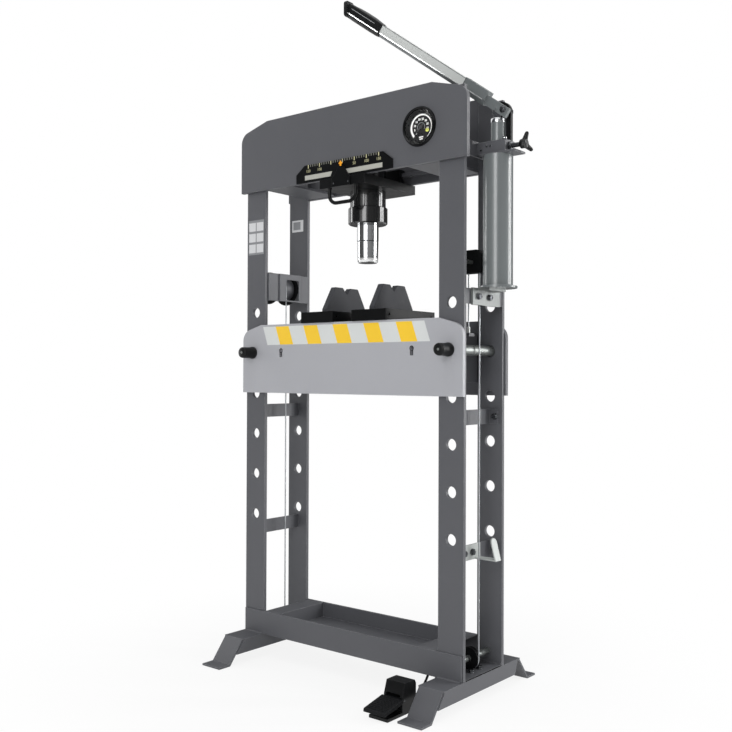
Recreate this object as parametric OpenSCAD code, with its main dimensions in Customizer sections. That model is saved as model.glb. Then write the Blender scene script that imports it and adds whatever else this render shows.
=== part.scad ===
// Workshop press: four-column frame, sliding hydraulic ram, hand pump, winch-lifted bed and foot pedal.
// Millimetres, +Z up. The origin is on the floor, under the middle of the press's outer box.

/* [Frame] */
// Distance between the left and right column centres
column_spacing = 828; // [820:2:840]
// Width of a column bar
column_w = 90; // [86:1:92]
// Thickness of a column bar
column_t = 12; // [10:1:13]
// Depth over the outer faces of the front and rear columns
frame_depth = 227; // [222:1:240]
// Height of the column tops
column_top = 1840; // [1820:5:1850]
// Width of the top beam
beam_w = 954; // [948:2:970]
// Height of the beam's underside
beam_bottom = 1622; // [1615:1:1630]
// Height of the beam's plates
beam_h = 240; // [230:2:250]
// Thickness of the beam's plates
beam_plate_t = 14; // [12:1:16]
// Diameter of the pin holes in the columns
pin_hole_d = 36; // [35:0.5:40]
// Distance between pin holes
pin_hole_pitch = 141; // [140:1:142]
// Height of the highest pin hole
pin_hole_top = 1198; // [1195:1:1200]
// Number of pin holes in a column
pin_hole_count = 6; // [5:1:6]

/* [Bed] */
// Pin hole that holds the bed, counted down from the highest
bed_hole = 1; // [1:1:4]
// Width of the bed
bed_w = 928; // [920:2:940]
// Height of the bed's plates
bed_h = 235; // [225:1:240]
// Thickness of the bed's plates
bed_plate_t = 14; // [12:1:16]
// Height from the bed's lower edge to its pins
bed_pin_rise = 139; // [134:1:142]
// Diameter of a locking pin
pin_d = 32; // [28:0.5:33]
// Width of a loose press plate
press_plate_w = 140; // [120:2:144]
// Thickness of a loose press plate
press_plate_t = 36; // [30:1:38]
// Height of a V-block
vee_h = 86; // [70:1:92]

/* [Ram] */
// Diameter of the ram
ram_d = 72; // [66:1:74]
// Outer diameter of the cylinder barrel
barrel_d = 119; // [116:1:122]
// Outer diameter of the gland collar
collar_d = 131; // [128:1:134]
// Length of ram that shows below the collar at rest
ram_showing = 127; // [120:1:130]
// Sideways travel of the carriage to each side
carriage_travel = 150; // [120:5:150]

/* [Pump] */
// Distance from the press's middle to the pump's axis
pump_x = 504; // [502:1:512]
// Outer diameter of the tank
tank_d = 90; // [80:1:92]
// Height of the tank tube
tank_h = 392; // [380:2:396]
// Rise of the handle at rest, in degrees
handle_angle = 36.2; // [32:0.1:38]
// Length of the handle from its bend to its end
handle_l = 700; // [600:5:760]

/* [Base] */
// Distance from the columns' outer edges in to the ends of the base plates
base_inset = 3; // [0:0.5:8]
// Height of the base plates' lower edges, which is the top of the feet
base_bottom = 80; // [76:1:84]
// Height of the base plates
base_h = 78; // [76:1:84]
// Length of a foot, front to back
foot_l = 632; // [600:4:680]
// Width of a foot
foot_w = 92; // [92:1:100]

/* [Gauge] */
// Distance of the gauge from the press's middle
gauge_x = 305; // [298:1:308]
// Outer diameter of the gauge's bezel
bezel_d = 122; // [118:1:128]

/* [Hidden] */
$fn = 64;
FIT = 0.05;

FRAME_GREY = "#5f6064";
BED_GREY = "#a9aaaf";
BLACK = "#1d1e20";
ZINC = "#a9b0ac";
CHROME = "#d9dcde";
TANK_GREY = "#7b8083";
ALUMINIUM = "#b9bcbf";

// Frame
col_x = column_spacing / 2;
col_in = col_x - column_w / 2;
y_out = frame_depth / 2;
y_in = y_out - column_t;
beam_hw = beam_w / 2;
beam_top = beam_bottom + beam_h;
beam_face = y_out + beam_plate_t;
shoulder_angle = 15.4;
shoulder_r = 40;
beam_flat_hw = beam_hw - 127;
base_hw = col_x + column_w / 2 - base_inset;
tie_in = carriage_travel + 95;
tie_t = 8;
rail_t = 12;
rail_d = 18;
rail_top = beam_bottom + 38;
end_plate_t = 4;
column_foot = base_bottom + end_plate_t;
strap_t = 5;
strap_h = 46;
strap_tab = 36;
pump_strap_tab = 18;
strap_x = col_x - 2.5;
pump_strap_x = col_in + 83;
pump_strap_z = 1217;
head_strap_x = pump_x - 66;
strap_low_z = 443;
strap_mid_z = 853;
bolt_head_d = 17;
bolt_head_h = 7;

// Scale
scale_hw = 205;
scale_h = 58;
scale_t = 4;

// Bed
pin_z = pin_hole_top - bed_hole * pin_hole_pitch;
bed_bottom = pin_z - bed_pin_rise;
bed_top = bed_bottom + bed_h;
bed_hw = bed_w / 2;
bed_flat_hw = bed_hw - 89;
bed_face = y_out + bed_plate_t;
keyhole_x = col_in - 91;
channel_in = col_in - 34;
channel_out = col_in - 4;
channel_low = bed_bottom + 40;
channel_high = bed_bottom + 194;
channel_t = 8;
lug_hw = 14;
press_plate_in = 40;
press_plate_l = 2 * bed_face + 9;
vee_t = 22;
vee_x = 101;
vee_base = 207;
vee_top = 117;
vee_foot = 10;
vee_notch = 39;
vee_notch_h = 22;
pin_tail = 14;
pin_flange_t = 9;
grip_d = 38;
grip_l = 46;

// Carriage and cylinder
carriage_top = beam_bottom - 1;
carriage_t = 30;
carriage_hw = 95;
carriage_hd = beam_face + 8.5;
hanger_hw = 70;
collar_bottom = beam_bottom - 141;
collar_h = 55;
barrel_bottom = collar_bottom + 24;
barrel_rise = 148;
barrel_top = beam_bottom + barrel_rise;
bore_d = 90;
cap_t = 18;
piston_h = 25;
piston_top = barrel_top - cap_t - 2;
ram_tip = collar_bottom - ram_showing;
nose_h = 73;
nose_top = ram_tip + nose_h;
spigot_r = 20;
spigot_h = 20;
set_screw_d = 9;
set_screw_rise = 40;
spring_wire = 6;
spring_turns = 7;
spring_ring_steps = 12;
bail_hw = 56;
bail_low_hw = 38;
bail_d = 12;
bail_leg = 35;
bail_drop = 51;
bend_swell = 0.4;
pointer_t = 4;
pointer_hw = 39;
pointer_h = 26;
pointer_rise = 75;

// Gauge
gauge_z = beam_bottom + 113;
dial_r = 42;
dial_t = 1.5;
dial_z = -10.5;
gauge_hole_r = 51;
bezel_h = 10;
lens_r = 52;
lens_z = 4;
lens_t = 2.5;
needle_pin_d = 3;

// Winch, sheaves and cable
cable_d = 5;
cable_left_x = 36 - col_x;
cable_right_x = col_x + 26;
drum_x = -col_x - 6;
drum_z = 1290;
drum_flange_r = 57;
drum_hw = 42;
drum_flange_t = 4;
drum_reach = cable_left_x - drum_x;
shaft_d = 20;
low_axle_d = 20;
low_reach = 31.8;
low_sheave_r = 34;
low_sheave_z = base_bottom + 39.5;
low_left_x = cable_left_x + low_reach;
low_right_x = cable_right_x - low_reach;
up_axle_d = 12;
up_reach = 20;
up_sheave_r = 23.5;
up_sheave_x = cable_right_x - up_reach;
up_sheave_z = 1325;
sheave_hw = 8;
cable_gap = 0.3;
fall_x = up_sheave_x - up_reach;
lug_z = pin_z + 53;
cover_x = 54 - col_x;
cover_t = 3;
cover_step = 6;
cover_mid_hw = 52;
cover_low = drum_z - 49;
cover_high = drum_z + 48;
window_left = -20;
window_right = 45;
window_low = drum_z - 44;
window_high = drum_z + 29;
window_r = 8;
hook_low = strap_low_z - 22;
hook_t = 4;
hook_y = 23;
hook_hw = 15;
hook_reach = 78;

// Pump
shelf_t = 6;
tank_flange_d = 117;
tank_bottom = 1242;
tank_top = tank_bottom + shelf_t + tank_h;
head_top = tank_top + 42;
head_end = pump_x + 39;
pump_barrel_h = 68;
pump_piston_d = 29;
lever_x = pump_x + 28;
lever_z = head_top + 90;
lever_pin_d = 12;
link_z = lever_z + 6;
link_pin_d = 10;
slot_h = 12;
tongue_hw = 16;
tongue_ht = 6.5;
lever_y = -14;
lever_t = 12;
arch_y = 8;
bend_x = lever_x - 50;
bend_z = lever_z + 36;
socket_l = 108;
bar_h = 38;
bar_t = 22;
bar_foot_hw = 3;
bar_side = 7;
grip_cover_l = 190;
valve_z = tank_top + 24;
spindle_d = 14;
knob_x = pump_x + 78;
knob_end = pump_x + 104;
knob_r = 35;
hub_l = 20;
lobe_r = 6;
bracket_t = 8;

// Feet
foot_t = 6;
foot_flat = 212;
foot_bend = 270;
toe_w = 84;
skirt_t = 4;
skirt_bottom = 34;

// Tray
tray_hw = 295;
ledge_hw = col_in - 5;
tray_t = 2.5;
tray_floor = base_bottom + 25;
base_t = 5.5;
base_top = base_bottom + base_h;

// Pedal
pedal_x = 315;
pedal_hw = 34;
pedal_front = -331;
pedal_back = -196;
pedal_top = 90;
tread_hw = 39;
tread_tip = -350;
hinge_y = -251;
hinge_z = 41;
hinge_d = 6;

// Hose routes, from the pedal to the glands under the tray
air_route = [
  [300, -196, 44], [299, -180, 42], [294, -150, 22], [282, -110, 6], [266, -60, 5],
  [252, -10, 22], [244, 30, 60], [242, 44, 84], [242, 46, 97]
];
signal_route = [
  [326, -196, 34], [325, -180, 33], [320, -150, 20], [306, -110, 8], [292, -64, 8],
  [283, -26, 13], [278, 17, 31], [275, 37, 57], [274, 43, 74], [274, 44, 86], [274, 44, 91], [274, 44, 97]
];
air_d = 8;
signal_d = 13;

// Middle of the outer box, which becomes the origin
origin_x = (knob_end - beam_hw) / 2;
origin_y = (tread_tip + foot_l / 2) / 2;

// Points on a circle from one angle to another
function arc(c, r, a0, a1, n = 8) =
  [for (i = [0:n]) c + r * [cos(a0 + (a1 - a0) * i / n), sin(a0 + (a1 - a0) * i / n)]];

// Right-hand shoulder of a plate: a round corner and a shallow slope up to the flat top
function shoulder(hw, flat_hw, top) =
  let (turn = 90 - shoulder_angle)
  let (end_x = hw - shoulder_r + shoulder_r * cos(turn))
  let (end_z = top - (end_x - flat_hw) * tan(shoulder_angle))
  concat(arc([hw - shoulder_r, end_z - shoulder_r * sin(turn)], shoulder_r, 0, turn), [[flat_hw, top]]);

function mirrored(points) = [for (i = [len(points) - 1:-1:0]) [-points[i][0], points[i][1]]];

function shouldered_outline(hw, flat_hw, bottom, top) =
  let (right = concat([[hw, bottom]], shoulder(hw, flat_hw, top)))
  concat(right, mirrored(right));

function unit(v) = v / norm(v);

// Smooth curve through hand-set points, with a few points between each pair
function smooth(p, n = 3) = concat(
  [for (i = [0:len(p) - 2], k = [0:n - 1])
    let (a = p[max(i - 1, 0)], b = p[i], c = p[i + 1], d = p[min(i + 2, len(p) - 1)], t = k / n)
    0.5 * (2 * b + (c - a) * t + (2 * a - 5 * b + 4 * c - d) * t * t
      + (3 * b - a - 3 * c + d) * t * t * t)],
  [p[len(p) - 1]]
);

function tangent(p, i) = unit(p[min(i + 1, len(p) - 1)] - p[max(i - 1, 0)]);

// Round tube along points; side is a direction that the path never follows
module tube(p, d, side, sides = 10) {
  rings = [for (i = [0:len(p) - 1])
    let (t = tangent(p, i), u = unit(cross(side, t)), v = cross(t, u))
    for (k = [0:sides - 1])
      p[i] + d / 2 * (u * cos(360 * k / sides) + v * sin(360 * k / sides))];
  last = (len(p) - 1) * sides;
  walls = [for (i = [0:len(p) - 2], k = [0:sides - 1], half = [0, 1])
    let (a = i * sides + k, b = i * sides + (k + 1) % sides)
    half == 0 ? [a, a + sides, b + sides] : [a, b + sides, b]];
  first_cap = [for (k = [0:sides - 1]) k];
  last_cap = [for (k = [sides - 1:-1:0]) last + k];
  polyhedron(points = rings, faces = concat(walls, [first_cap], [last_cap]), convexity = 6);
}

module box(x0, x1, y0, y1, z0, z1) translate([x0, y0, z0]) cube([x1 - x0, y1 - y0, z1 - z0]);
module rod_x(d, x0, x1, y, z) translate([x0, y, z]) rotate([0, 90, 0]) cylinder(d = d, h = x1 - x0);
module rod_y(d, y0, y1, x, z) translate([x, y0, z]) rotate([-90, 0, 0]) cylinder(d = d, h = y1 - y0);
module rod_z(d, z0, z1, x, y) translate([x, y, z0]) cylinder(d = d, h = z1 - z0);

// Plate drawn as seen from the front, from depth y0 to y0 + t
module plate_xz(points, y0, t) translate([0, y0 + t, 0]) rotate([90, 0, 0]) linear_extrude(t) polygon(points);

// Plate drawn as seen from the right, from x0 to x0 + t
module plate_yz(points, x0, t) translate([x0, 0, 0]) rotate([90, 0, 90]) linear_extrude(t) polygon(points);

// Straight round bar between two points
module bar_between(a, b, d) {
  v = b - a;
  translate(a) rotate([0, acos(v[2] / norm(v)), atan2(v[1], v[0])]) cylinder(d = d, h = norm(v));
}

module both_sides_x() {
  children();
  mirror([1, 0, 0]) children();
}

module both_sides_y() {
  children();
  mirror([0, 1, 0]) children();
}

// Body of revolution whose axis runs from front to back, its profile as [radius, depth]
module turned_y(profile, x, z) translate([x, 0, z]) rotate([-90, 0, 0]) rotate_extrude() polygon(profile);

module column_pair(y0) {
  difference() {
    both_sides_x() box(col_in, col_x + column_w / 2, y0, y0 + column_t, column_foot, column_top);
    for (side = [-1, 1], i = [0:pin_hole_count - 1])
      rod_y(pin_hole_d, y0 - 1, y0 + column_t + 1, side * col_x, pin_hole_top - i * pin_hole_pitch);
  }
}

module front_columns() color(FRAME_GREY) difference() {
  column_pair(-y_out);
  rod_y(shaft_d + 2 * FIT, -y_in - 8, -y_in + 1, drum_x, drum_z);
}

module rear_columns() color(FRAME_GREY) difference() {
  column_pair(y_in);
  rod_y(shaft_d + 2 * FIT, y_in - 1, y_out + 1, drum_x, drum_z);
}

module beam_plate(y0)
  plate_xz(shouldered_outline(beam_hw, beam_flat_hw, beam_bottom, beam_top), y0, beam_plate_t);

module beam_front_plate() color(FRAME_GREY) difference() {
  beam_plate(-beam_face);
  rod_y(2 * gauge_hole_r, -beam_face - 1, -y_out + 1, gauge_x, gauge_z);
}

module beam_rear_plate() color(FRAME_GREY) beam_plate(y_out);

module beam_ties() color(FRAME_GREY)
  both_sides_x() box(tie_in, col_in, -y_out, y_out, beam_bottom + 2, beam_bottom + 2 + tie_t);

module beam_rails() color(FRAME_GREY)
  both_sides_y() box(-tie_in, tie_in, y_out - rail_d, y_out, rail_top - rail_t, rail_top);

module scale_plate() color(BLACK) plate_xz([
  [-scale_hw, beam_bottom], [scale_hw, beam_bottom], [scale_hw, beam_bottom + scale_h - 28],
  [scale_hw - 38, beam_bottom + scale_h], [38 - scale_hw, beam_bottom + scale_h],
  [-scale_hw, beam_bottom + scale_h - 28]
], -beam_face - scale_t, scale_t);

// Strip between a front and a rear column, with a bent tab on each column
module strap(x, z, tab) {
  low = z - strap_h / 2;
  box(x, x + strap_t, -y_in, y_in, low, low + strap_h);
  both_sides_y()
    box(min(x, x + tab), max(x + strap_t, x + tab), y_in - strap_t, y_in, low, low + strap_h);
}

module column_straps() color(FRAME_GREY) {
  for (side = [0, 1], z = [strap_low_z, strap_mid_z])
    mirror([side, 0, 0]) strap(strap_x, z, strap_tab);
  strap(pump_strap_x, pump_strap_z, -pump_strap_tab);
  strap(head_strap_x, valve_z, -strap_tab);
}

// Hexagon head with a plain disc, standing on a face that looks along +Z
module bolt_head() {
  cylinder(d = bolt_head_d + 4, h = 2);
  translate([0, 0, 2]) cylinder(d = bolt_head_d, h = bolt_head_h, $fn = 6);
}

module frame_bolts() color(ZINC) {
  for (side = [0, 1], y = [-24, 24])
    mirror([side, 0, 0]) translate([col_x + 13, y, column_foot]) bolt_head();
  for (y = [-45, 15])
    translate([pump_strap_x + strap_t + bracket_t, y, pump_strap_z]) rotate([0, 90, 0]) bolt_head();
  for (side = [0, 1], z = [strap_low_z, strap_mid_z], y = [-y_in + strap_t, y_in - strap_t])
    mirror([side, 0, 0]) translate([strap_x + 24, y, z]) rotate([y < 0 ? -90 : 90, 0, 0]) bolt_head();
}

module base_plate(y0) box(-base_hw, base_hw, y0, y0 + base_t, base_bottom, base_top);
module base_front_plate() color(FRAME_GREY) base_plate(-y_out - base_t);
module base_rear_plate() color(FRAME_GREY) base_plate(y_out);

// Sheet pan with a ledge at each end and two hose glands under its floor
module base_tray() color(FRAME_GREY) {
  difference() {
    union() {
      box(-tray_hw, tray_hw, -y_out, y_out, tray_floor, base_top);
      both_sides_x() box(tray_hw - 1, ledge_hw, -y_out, y_out, base_top - tray_t, base_top);
    }
    both_sides_x() both_sides_y()
      box(-1, tray_hw - tray_t, -1, y_out - tray_t, tray_floor + tray_t, base_top + 1);
  }
  for (end = [[air_route, air_d], [signal_route, signal_d]]) {
    p = end[0][len(end[0]) - 1];
    rod_z(end[1] + 8, p[2], tray_floor + 1, p[0], p[1]);
  }
}

module base_end_plates() color(FRAME_GREY)
  both_sides_x() box(col_in, col_x + column_w / 2, -y_out, y_out, base_bottom, column_foot);

// One foot: a strip bent down to a toe at each end, with a folded skirt on both edges
module foot() {
  half = foot_l / 2;
  run = foot_bend - foot_flat;
  drop = base_bottom - foot_t;
  bend_in = foot_t * (norm([run, drop]) - run) / drop;
  skirt_front = foot_flat + run * (base_bottom - skirt_bottom) / base_bottom - bend_in - 2;
  translate([col_x - foot_w / 2, 0, 0]) {
    plate_yz([
      [-foot_flat, base_bottom], [foot_flat, base_bottom],
      [foot_flat - bend_in, base_bottom - foot_t], [bend_in - foot_flat, base_bottom - foot_t]
    ], 0, foot_w);
    for (x = [0, foot_w - skirt_t])
      plate_yz([
        [bend_in - foot_flat, base_bottom - foot_t], [foot_flat - bend_in - 12, base_bottom - foot_t],
        [foot_flat - bend_in - 28, skirt_bottom], [-skirt_front, skirt_bottom]
      ], x, skirt_t);
  }
  both_sides_y() plate_yz([
    [foot_flat, base_bottom], [foot_bend, foot_t], [half, foot_t], [half, 0],
    [foot_bend - bend_in, 0], [foot_flat - bend_in, base_bottom - foot_t]
  ], col_x - toe_w / 2, toe_w);
}

module feet() color(FRAME_GREY) both_sides_x() foot();

module bed_plate(y0) difference() {
  plate_xz(shouldered_outline(bed_hw, bed_flat_hw, bed_bottom, bed_top), y0, bed_plate_t);
  for (side = [-1, 1]) rod_y(pin_d + 1, y0 - 1, y0 + bed_plate_t + 1, side * col_x, pin_z);
}

// Front plate, with two keyholes below its striped band
module bed_front_plate() color(BED_GREY) difference() {
  bed_plate(-bed_face);
  for (side = [-1, 1]) translate([side * keyhole_x, -bed_face - 1, pin_z]) {
    rod_y(12, 0, bed_plate_t + 2, 0, 6);
    rod_y(7, 0, bed_plate_t + 2, 0, -10);
    box(-3.5, 3.5, 0, bed_plate_t + 2, -10, 6);
  }
}

module bed_rear_plate() color(FRAME_GREY) bed_plate(y_out);

// Cross channels between the bed's plates, with lugs for the lifting cable
module bed_channels() color(FRAME_GREY) {
  both_sides_x() difference() {
    box(channel_in, channel_out, -y_out, y_out, channel_low, channel_high);
    translate([-channel_t, 0, 0])
      box(channel_in, channel_out, -y_out - 1, y_out + 1, channel_low + channel_t, channel_high - channel_t);
  }
  box(channel_out - 1, fall_x + 12, -lug_hw, lug_hw, lug_z - 10, lug_z);
  difference() {
    box(cable_left_x - 10, 1 - channel_out, -lug_hw, lug_hw, lug_z - 20, lug_z);
    rod_z(cable_d + 1, lug_z - 21, lug_z + 1, cable_left_x, 0);
  }
}

module press_plates() color(BLACK) both_sides_x() translate([press_plate_in, 0, bed_top]) difference() {
  box(0, press_plate_w, -press_plate_l / 2, press_plate_l / 2, 0, press_plate_t);
  for (y = [-1, 1] * (press_plate_l / 2 - 20)) rod_x(9, -1, press_plate_w + 1, y, press_plate_t / 2);
}

// V-block: a tapered plate with a notch in its top, standing across the press plates
module v_block(x) {
  z0 = bed_top + press_plate_t;
  flat = (vee_top - vee_notch) / 2;
  plate_yz([
    [-vee_base / 2, z0], [vee_base / 2, z0], [vee_base / 2, z0 + vee_foot],
    [vee_top / 2, z0 + vee_h], [vee_top / 2 - flat, z0 + vee_h], [0, z0 + vee_h - vee_notch_h],
    [flat - vee_top / 2, z0 + vee_h], [-vee_top / 2, z0 + vee_h], [-vee_base / 2, z0 + vee_foot]
  ], x - vee_t / 2, vee_t);
}

module v_blocks() color(BLACK) for (side = [-1, 1]) v_block(side * vee_x);

// Gauge pieces are drawn about the dial's axis, looking out of the beam's front face
module at_gauge() translate([gauge_x, -beam_face, gauge_z]) rotate([90, 0, 0]) children();

// Case with a deep funnel behind its bezel: the lens rests on a ledge and the dial lies at the bottom
module gauge_case() color(BLACK) at_gauge() rotate_extrude() polygon([
  [0, -60], [dial_r + 3, -60], [dial_r + 3, dial_z - 4], [gauge_hole_r - 0.5, dial_z - 4],
  [gauge_hole_r - 0.5, 0], [bezel_d / 2, 0], [bezel_d / 2, 3], [bezel_d / 2 - 4, bezel_h],
  [lens_r + 3, bezel_h], [lens_r, lens_z + lens_t], [lens_r, lens_z], [lens_r - 2, lens_z],
  [dial_r, dial_z + dial_t], [dial_r, dial_z], [dial_r - 4, dial_z], [dial_r - 4, -56], [0, -56]
]);

module gauge_dial() color(BLACK) at_gauge() translate([0, 0, dial_z]) difference() {
  cylinder(r = dial_r, h = dial_t);
  translate([0, 0, -1]) cylinder(d = needle_pin_d + 2 * FIT, h = dial_t + 2);
}

module gauge_lens() color("#dfe6e8", 0.4) at_gauge() translate([0, 0, lens_z]) cylinder(r = lens_r, h = lens_t);

module gauge_needle() color("white") at_gauge() translate([0, 0, dial_z]) {
  translate([0, 0, -6]) cylinder(d = needle_pin_d, h = 10);
  translate([0, 0, 2.5]) cylinder(d = 11, h = 2);
  translate([0, 0, 3]) rotate(225) linear_extrude(1)
    polygon([[-12, -2.5], [0, -3], [33, -0.6], [33, 0.6], [0, 3], [-12, 2.5]]);
}

// Bent sheet between the left columns: a raised middle with a window, and a flank to each column
module winch_cover() color(FRAME_GREY) difference() {
  union() {
    box(cover_x, cover_x + cover_t, -cover_mid_hw, cover_mid_hw, cover_low, cover_high);
    both_sides_y() {
      box(cover_x - cover_step, cover_x + cover_t, cover_mid_hw - cover_t, cover_mid_hw, cover_low, cover_high);
      translate([-cover_step, 0, 0])
        box(cover_x, cover_x + cover_t, cover_mid_hw - cover_t, y_in, cover_low, cover_high);
      box(14 - col_x, cover_x - cover_step + cover_t, y_in - cover_t, y_in, cover_low, cover_high);
    }
  }
  translate([cover_x - 1, 0, 0]) {
    box(0, cover_t + 2, window_left, window_right, window_low, window_high - window_r);
    box(0, cover_t + 2, window_left + window_r, window_right - window_r, drum_z, window_high);
    for (y = [window_left + window_r, window_right - window_r])
      rod_x(2 * window_r, 0, cover_t + 2, y, window_high - window_r);
  }
}

// Drum with its shaft, which ends behind the rear column in a square for a crank
module winch_drum() color(BLACK) {
  turned_y([
    [0, -y_in - 7], [shaft_d / 2, -y_in - 7], [shaft_d / 2, -drum_hw - drum_flange_t],
    [drum_flange_r, -drum_hw - drum_flange_t], [drum_flange_r, -drum_hw],
    [drum_reach - cable_d / 2 - cable_gap, -drum_hw], [drum_reach - cable_d / 2 - cable_gap, drum_hw],
    [drum_flange_r, drum_hw], [drum_flange_r, drum_hw + drum_flange_t],
    [shaft_d / 2, drum_hw + drum_flange_t], [shaft_d / 2, y_out + 4], [0, y_out + 4]
  ], drum_x, drum_z);
  box(drum_x - 6.5, drum_x + 6.5, y_out + 3, y_out + 24, drum_z - 6.5, drum_z + 6.5);
}

// The cable runs from the drum, under both lower sheaves, over the upper one and down to the bed
cable_path = concat(
  [[cable_left_x, drum_z], [cable_left_x, drum_z - 300], [cable_left_x, drum_z - 700]],
  arc([low_left_x, low_sheave_z], low_reach, 180, 270),
  [[-100, low_sheave_z - low_reach], [150, low_sheave_z - low_reach]],
  arc([low_right_x, low_sheave_z], low_reach, 270, 360),
  [[cable_right_x, low_sheave_z + 380], [cable_right_x, up_sheave_z - 425]],
  arc([up_sheave_x, up_sheave_z], up_reach, 0, 180, 12),
  [[fall_x, up_sheave_z - 60], [fall_x, lug_z]]
);

module lift_cable() color(CHROME) tube([for (p = cable_path) [p[0], 0, p[1]]], cable_d, [0, 1, 0], 8);

// Grooved wheel for the cable
module sheave(x, z, r, reach, axle_d) {
  root = reach - cable_d / 2 - cable_gap;
  difference() {
    turned_y([
      [0, -sheave_hw], [r, -sheave_hw], [r, 1.5 - sheave_hw],
      [root, -cable_d / 2 - 1], [root, cable_d / 2 + 1],
      [r, sheave_hw - 1.5], [r, sheave_hw], [0, sheave_hw]
    ], x, z);
    rod_y(axle_d + 2 * FIT, -sheave_hw - 1, sheave_hw + 1, x, z);
  }
}

module lower_sheave(x) color(BLACK) sheave(x, low_sheave_z, low_sheave_r, low_reach, low_axle_d);
module lower_left_sheave() lower_sheave(low_left_x);
module lower_right_sheave() lower_sheave(low_right_x);
module upper_right_sheave() color(BLACK) sheave(up_sheave_x, up_sheave_z, up_sheave_r, up_reach, up_axle_d);

module sheave_axles() color(ZINC) {
  rod_y(low_axle_d, -y_out, y_out, low_left_x, low_sheave_z);
  rod_y(low_axle_d, -y_in, y_in, low_right_x, low_sheave_z);
  rod_y(up_axle_d, -y_in, y_in, up_sheave_x, up_sheave_z);
}

// Round-topped hood over the upper sheave
module sheave_guard() color(BLACK) difference() {
  plate_xz(concat(
    [[up_sheave_x + 33, up_sheave_z - 33]],
    arc([up_sheave_x + 15, up_sheave_z + 20], 18, 0, 90),
    arc([up_sheave_x - 15, up_sheave_z + 20], 18, 90, 180),
    [[up_sheave_x - 33, up_sheave_z - 33]]
  ), -14, 28);
  box(up_sheave_x - 30, up_sheave_x + 30, -11, 11, up_sheave_z - 34, up_sheave_z + 30);
  rod_y(up_axle_d, -20, 20, up_sheave_x, up_sheave_z);
}

// Zinc hook on the lower right strap: a plate, and a strip bent up to a round end
module hook_bracket() color(ZINC) {
  face = strap_x + strap_t;
  tip = face + hook_reach;
  top = hook_low + 67;
  box(face, face + hook_t, hook_y - 93, hook_y + hook_hw, hook_low, hook_low + strap_h);
  intersection() {
    plate_xz([
      [face + 1, hook_low], [tip, hook_low], [tip - 18, top], [tip - 22, top],
      [tip - 5, hook_low + hook_t], [face + 1, hook_low + hook_t]
    ], hook_y - hook_hw - 1, 2 * hook_hw + 2);
    plate_yz(concat(
      [[hook_y - hook_hw, hook_low - 1], [hook_y + hook_hw, hook_low - 1]],
      arc([hook_y, top - hook_hw], hook_hw, 0, 180, 16)
    ), face, hook_reach + 1);
  }
}

module pump_tank() color(TANK_GREY) translate([pump_x, 0, tank_bottom]) rotate_extrude() polygon([
  [0, 0], [tank_flange_d / 2, 0], [tank_flange_d / 2, shelf_t], [tank_d / 2, shelf_t],
  [tank_d / 2, shelf_t + tank_h], [tank_d / 2 - 3, shelf_t + tank_h],
  [tank_d / 2 - 3, 2 * shelf_t], [0, 2 * shelf_t]
]);

// Head block on the tank's cover plate, bored for the release spindle
module pump_head() color(FRAME_GREY) difference() {
  union() {
    box(pump_x - 44, pump_x + 76, -30, 30, tank_top, tank_top + shelf_t);
    box(head_strap_x + strap_t, head_end, -24, 30, tank_top + shelf_t, head_top);
  }
  rod_x(spindle_d + 2 * FIT, pump_x + 4, head_end + 1, 0, valve_z);
}

module pump_barrel() color(TANK_GREY) translate([pump_x, 0, head_top]) difference() {
  cylinder(d = 44, h = pump_barrel_h);
  translate([0, 0, -1]) cylinder(d = pump_piston_d + 2 * FIT, h = pump_barrel_h + 2);
}

// Plunger with a flat tongue; its slot takes the lever's link pin with play
module pump_piston() color(CHROME) {
  slot_hw = 3;
  neck_hw = 12;
  neck_low = link_z - 28;
  rod_z(pump_piston_d, head_top + 18, neck_low, pump_x, 0);
  box(pump_x - neck_hw, pump_x + neck_hw, -tongue_ht, tongue_ht, neck_low - 1, link_z - 11);
  difference() {
    box(pump_x - tongue_hw, pump_x + tongue_hw, -tongue_ht, tongue_ht, link_z - 12, link_z + 12);
    box(pump_x - slot_hw, pump_x + slot_hw, -8, 8, link_z - slot_h / 2, link_z + slot_h / 2);
    for (x = [-slot_hw, slot_hw]) rod_y(slot_h, -8, 8, pump_x + x, link_z);
  }
}

// Upright bar behind the barrel, hooked over the plunger, which carries the lever's pin
module pump_arch() color(BLACK) difference() {
  leg_w = 16;
  leg = head_end - leg_w;
  top = head_top + 122;
  corner_r = 36;
  plate_xz(concat(
    [[leg, head_top], [leg + leg_w, head_top]],
    arc([leg + leg_w - corner_r, top - corner_r], corner_r, 0, 90),
    [[pump_x - 6, top], [pump_x - 6, top - 16], [leg - 8, top - 16], [leg - 8, top - 40], [leg, top - 48]]
  ), arch_y, lever_t);
  rod_y(lever_pin_d, arch_y - 1, arch_y + lever_t + 1, lever_x, lever_z);
}

// Angle bracket under the tank, bolted to the upper right strap
module pump_bracket() color(ZINC) {
  x0 = pump_strap_x + strap_t;
  box(x0, x0 + bracket_t, -75, 75, pump_strap_z - 26, tank_bottom);
  box(x0, pump_x, -46, 46, tank_bottom - 8, tank_bottom);
}

// Lever pin of the pump and hinge pin of the pedal
module hinge_pins() color(ZINC) {
  rod_y(lever_pin_d, lever_y - 10, arch_y + lever_t, lever_x, lever_z);
  rod_x(hinge_d, pedal_x - pedal_hw, pedal_x + pedal_hw, hinge_y, hinge_z);
}

// Local frame of the handle: x runs from its bend to its end
module along_handle() translate([bend_x, lever_y, bend_z]) rotate([0, 180 + handle_angle, 0]) children();

// Section of the handle's bar, grown by t: a flat upper edge, and sides that lean in to a narrow lower edge
function bar_outline(t) =
  let (hw = bar_t / 2 + t, hh = bar_h / 2 + t, foot = bar_foot_hw + t)
  [[-hw, -hh], [hw, -hh], [hw, bar_side], [foot, hh], [-foot, hh], [-hw, bar_side]];

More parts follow.
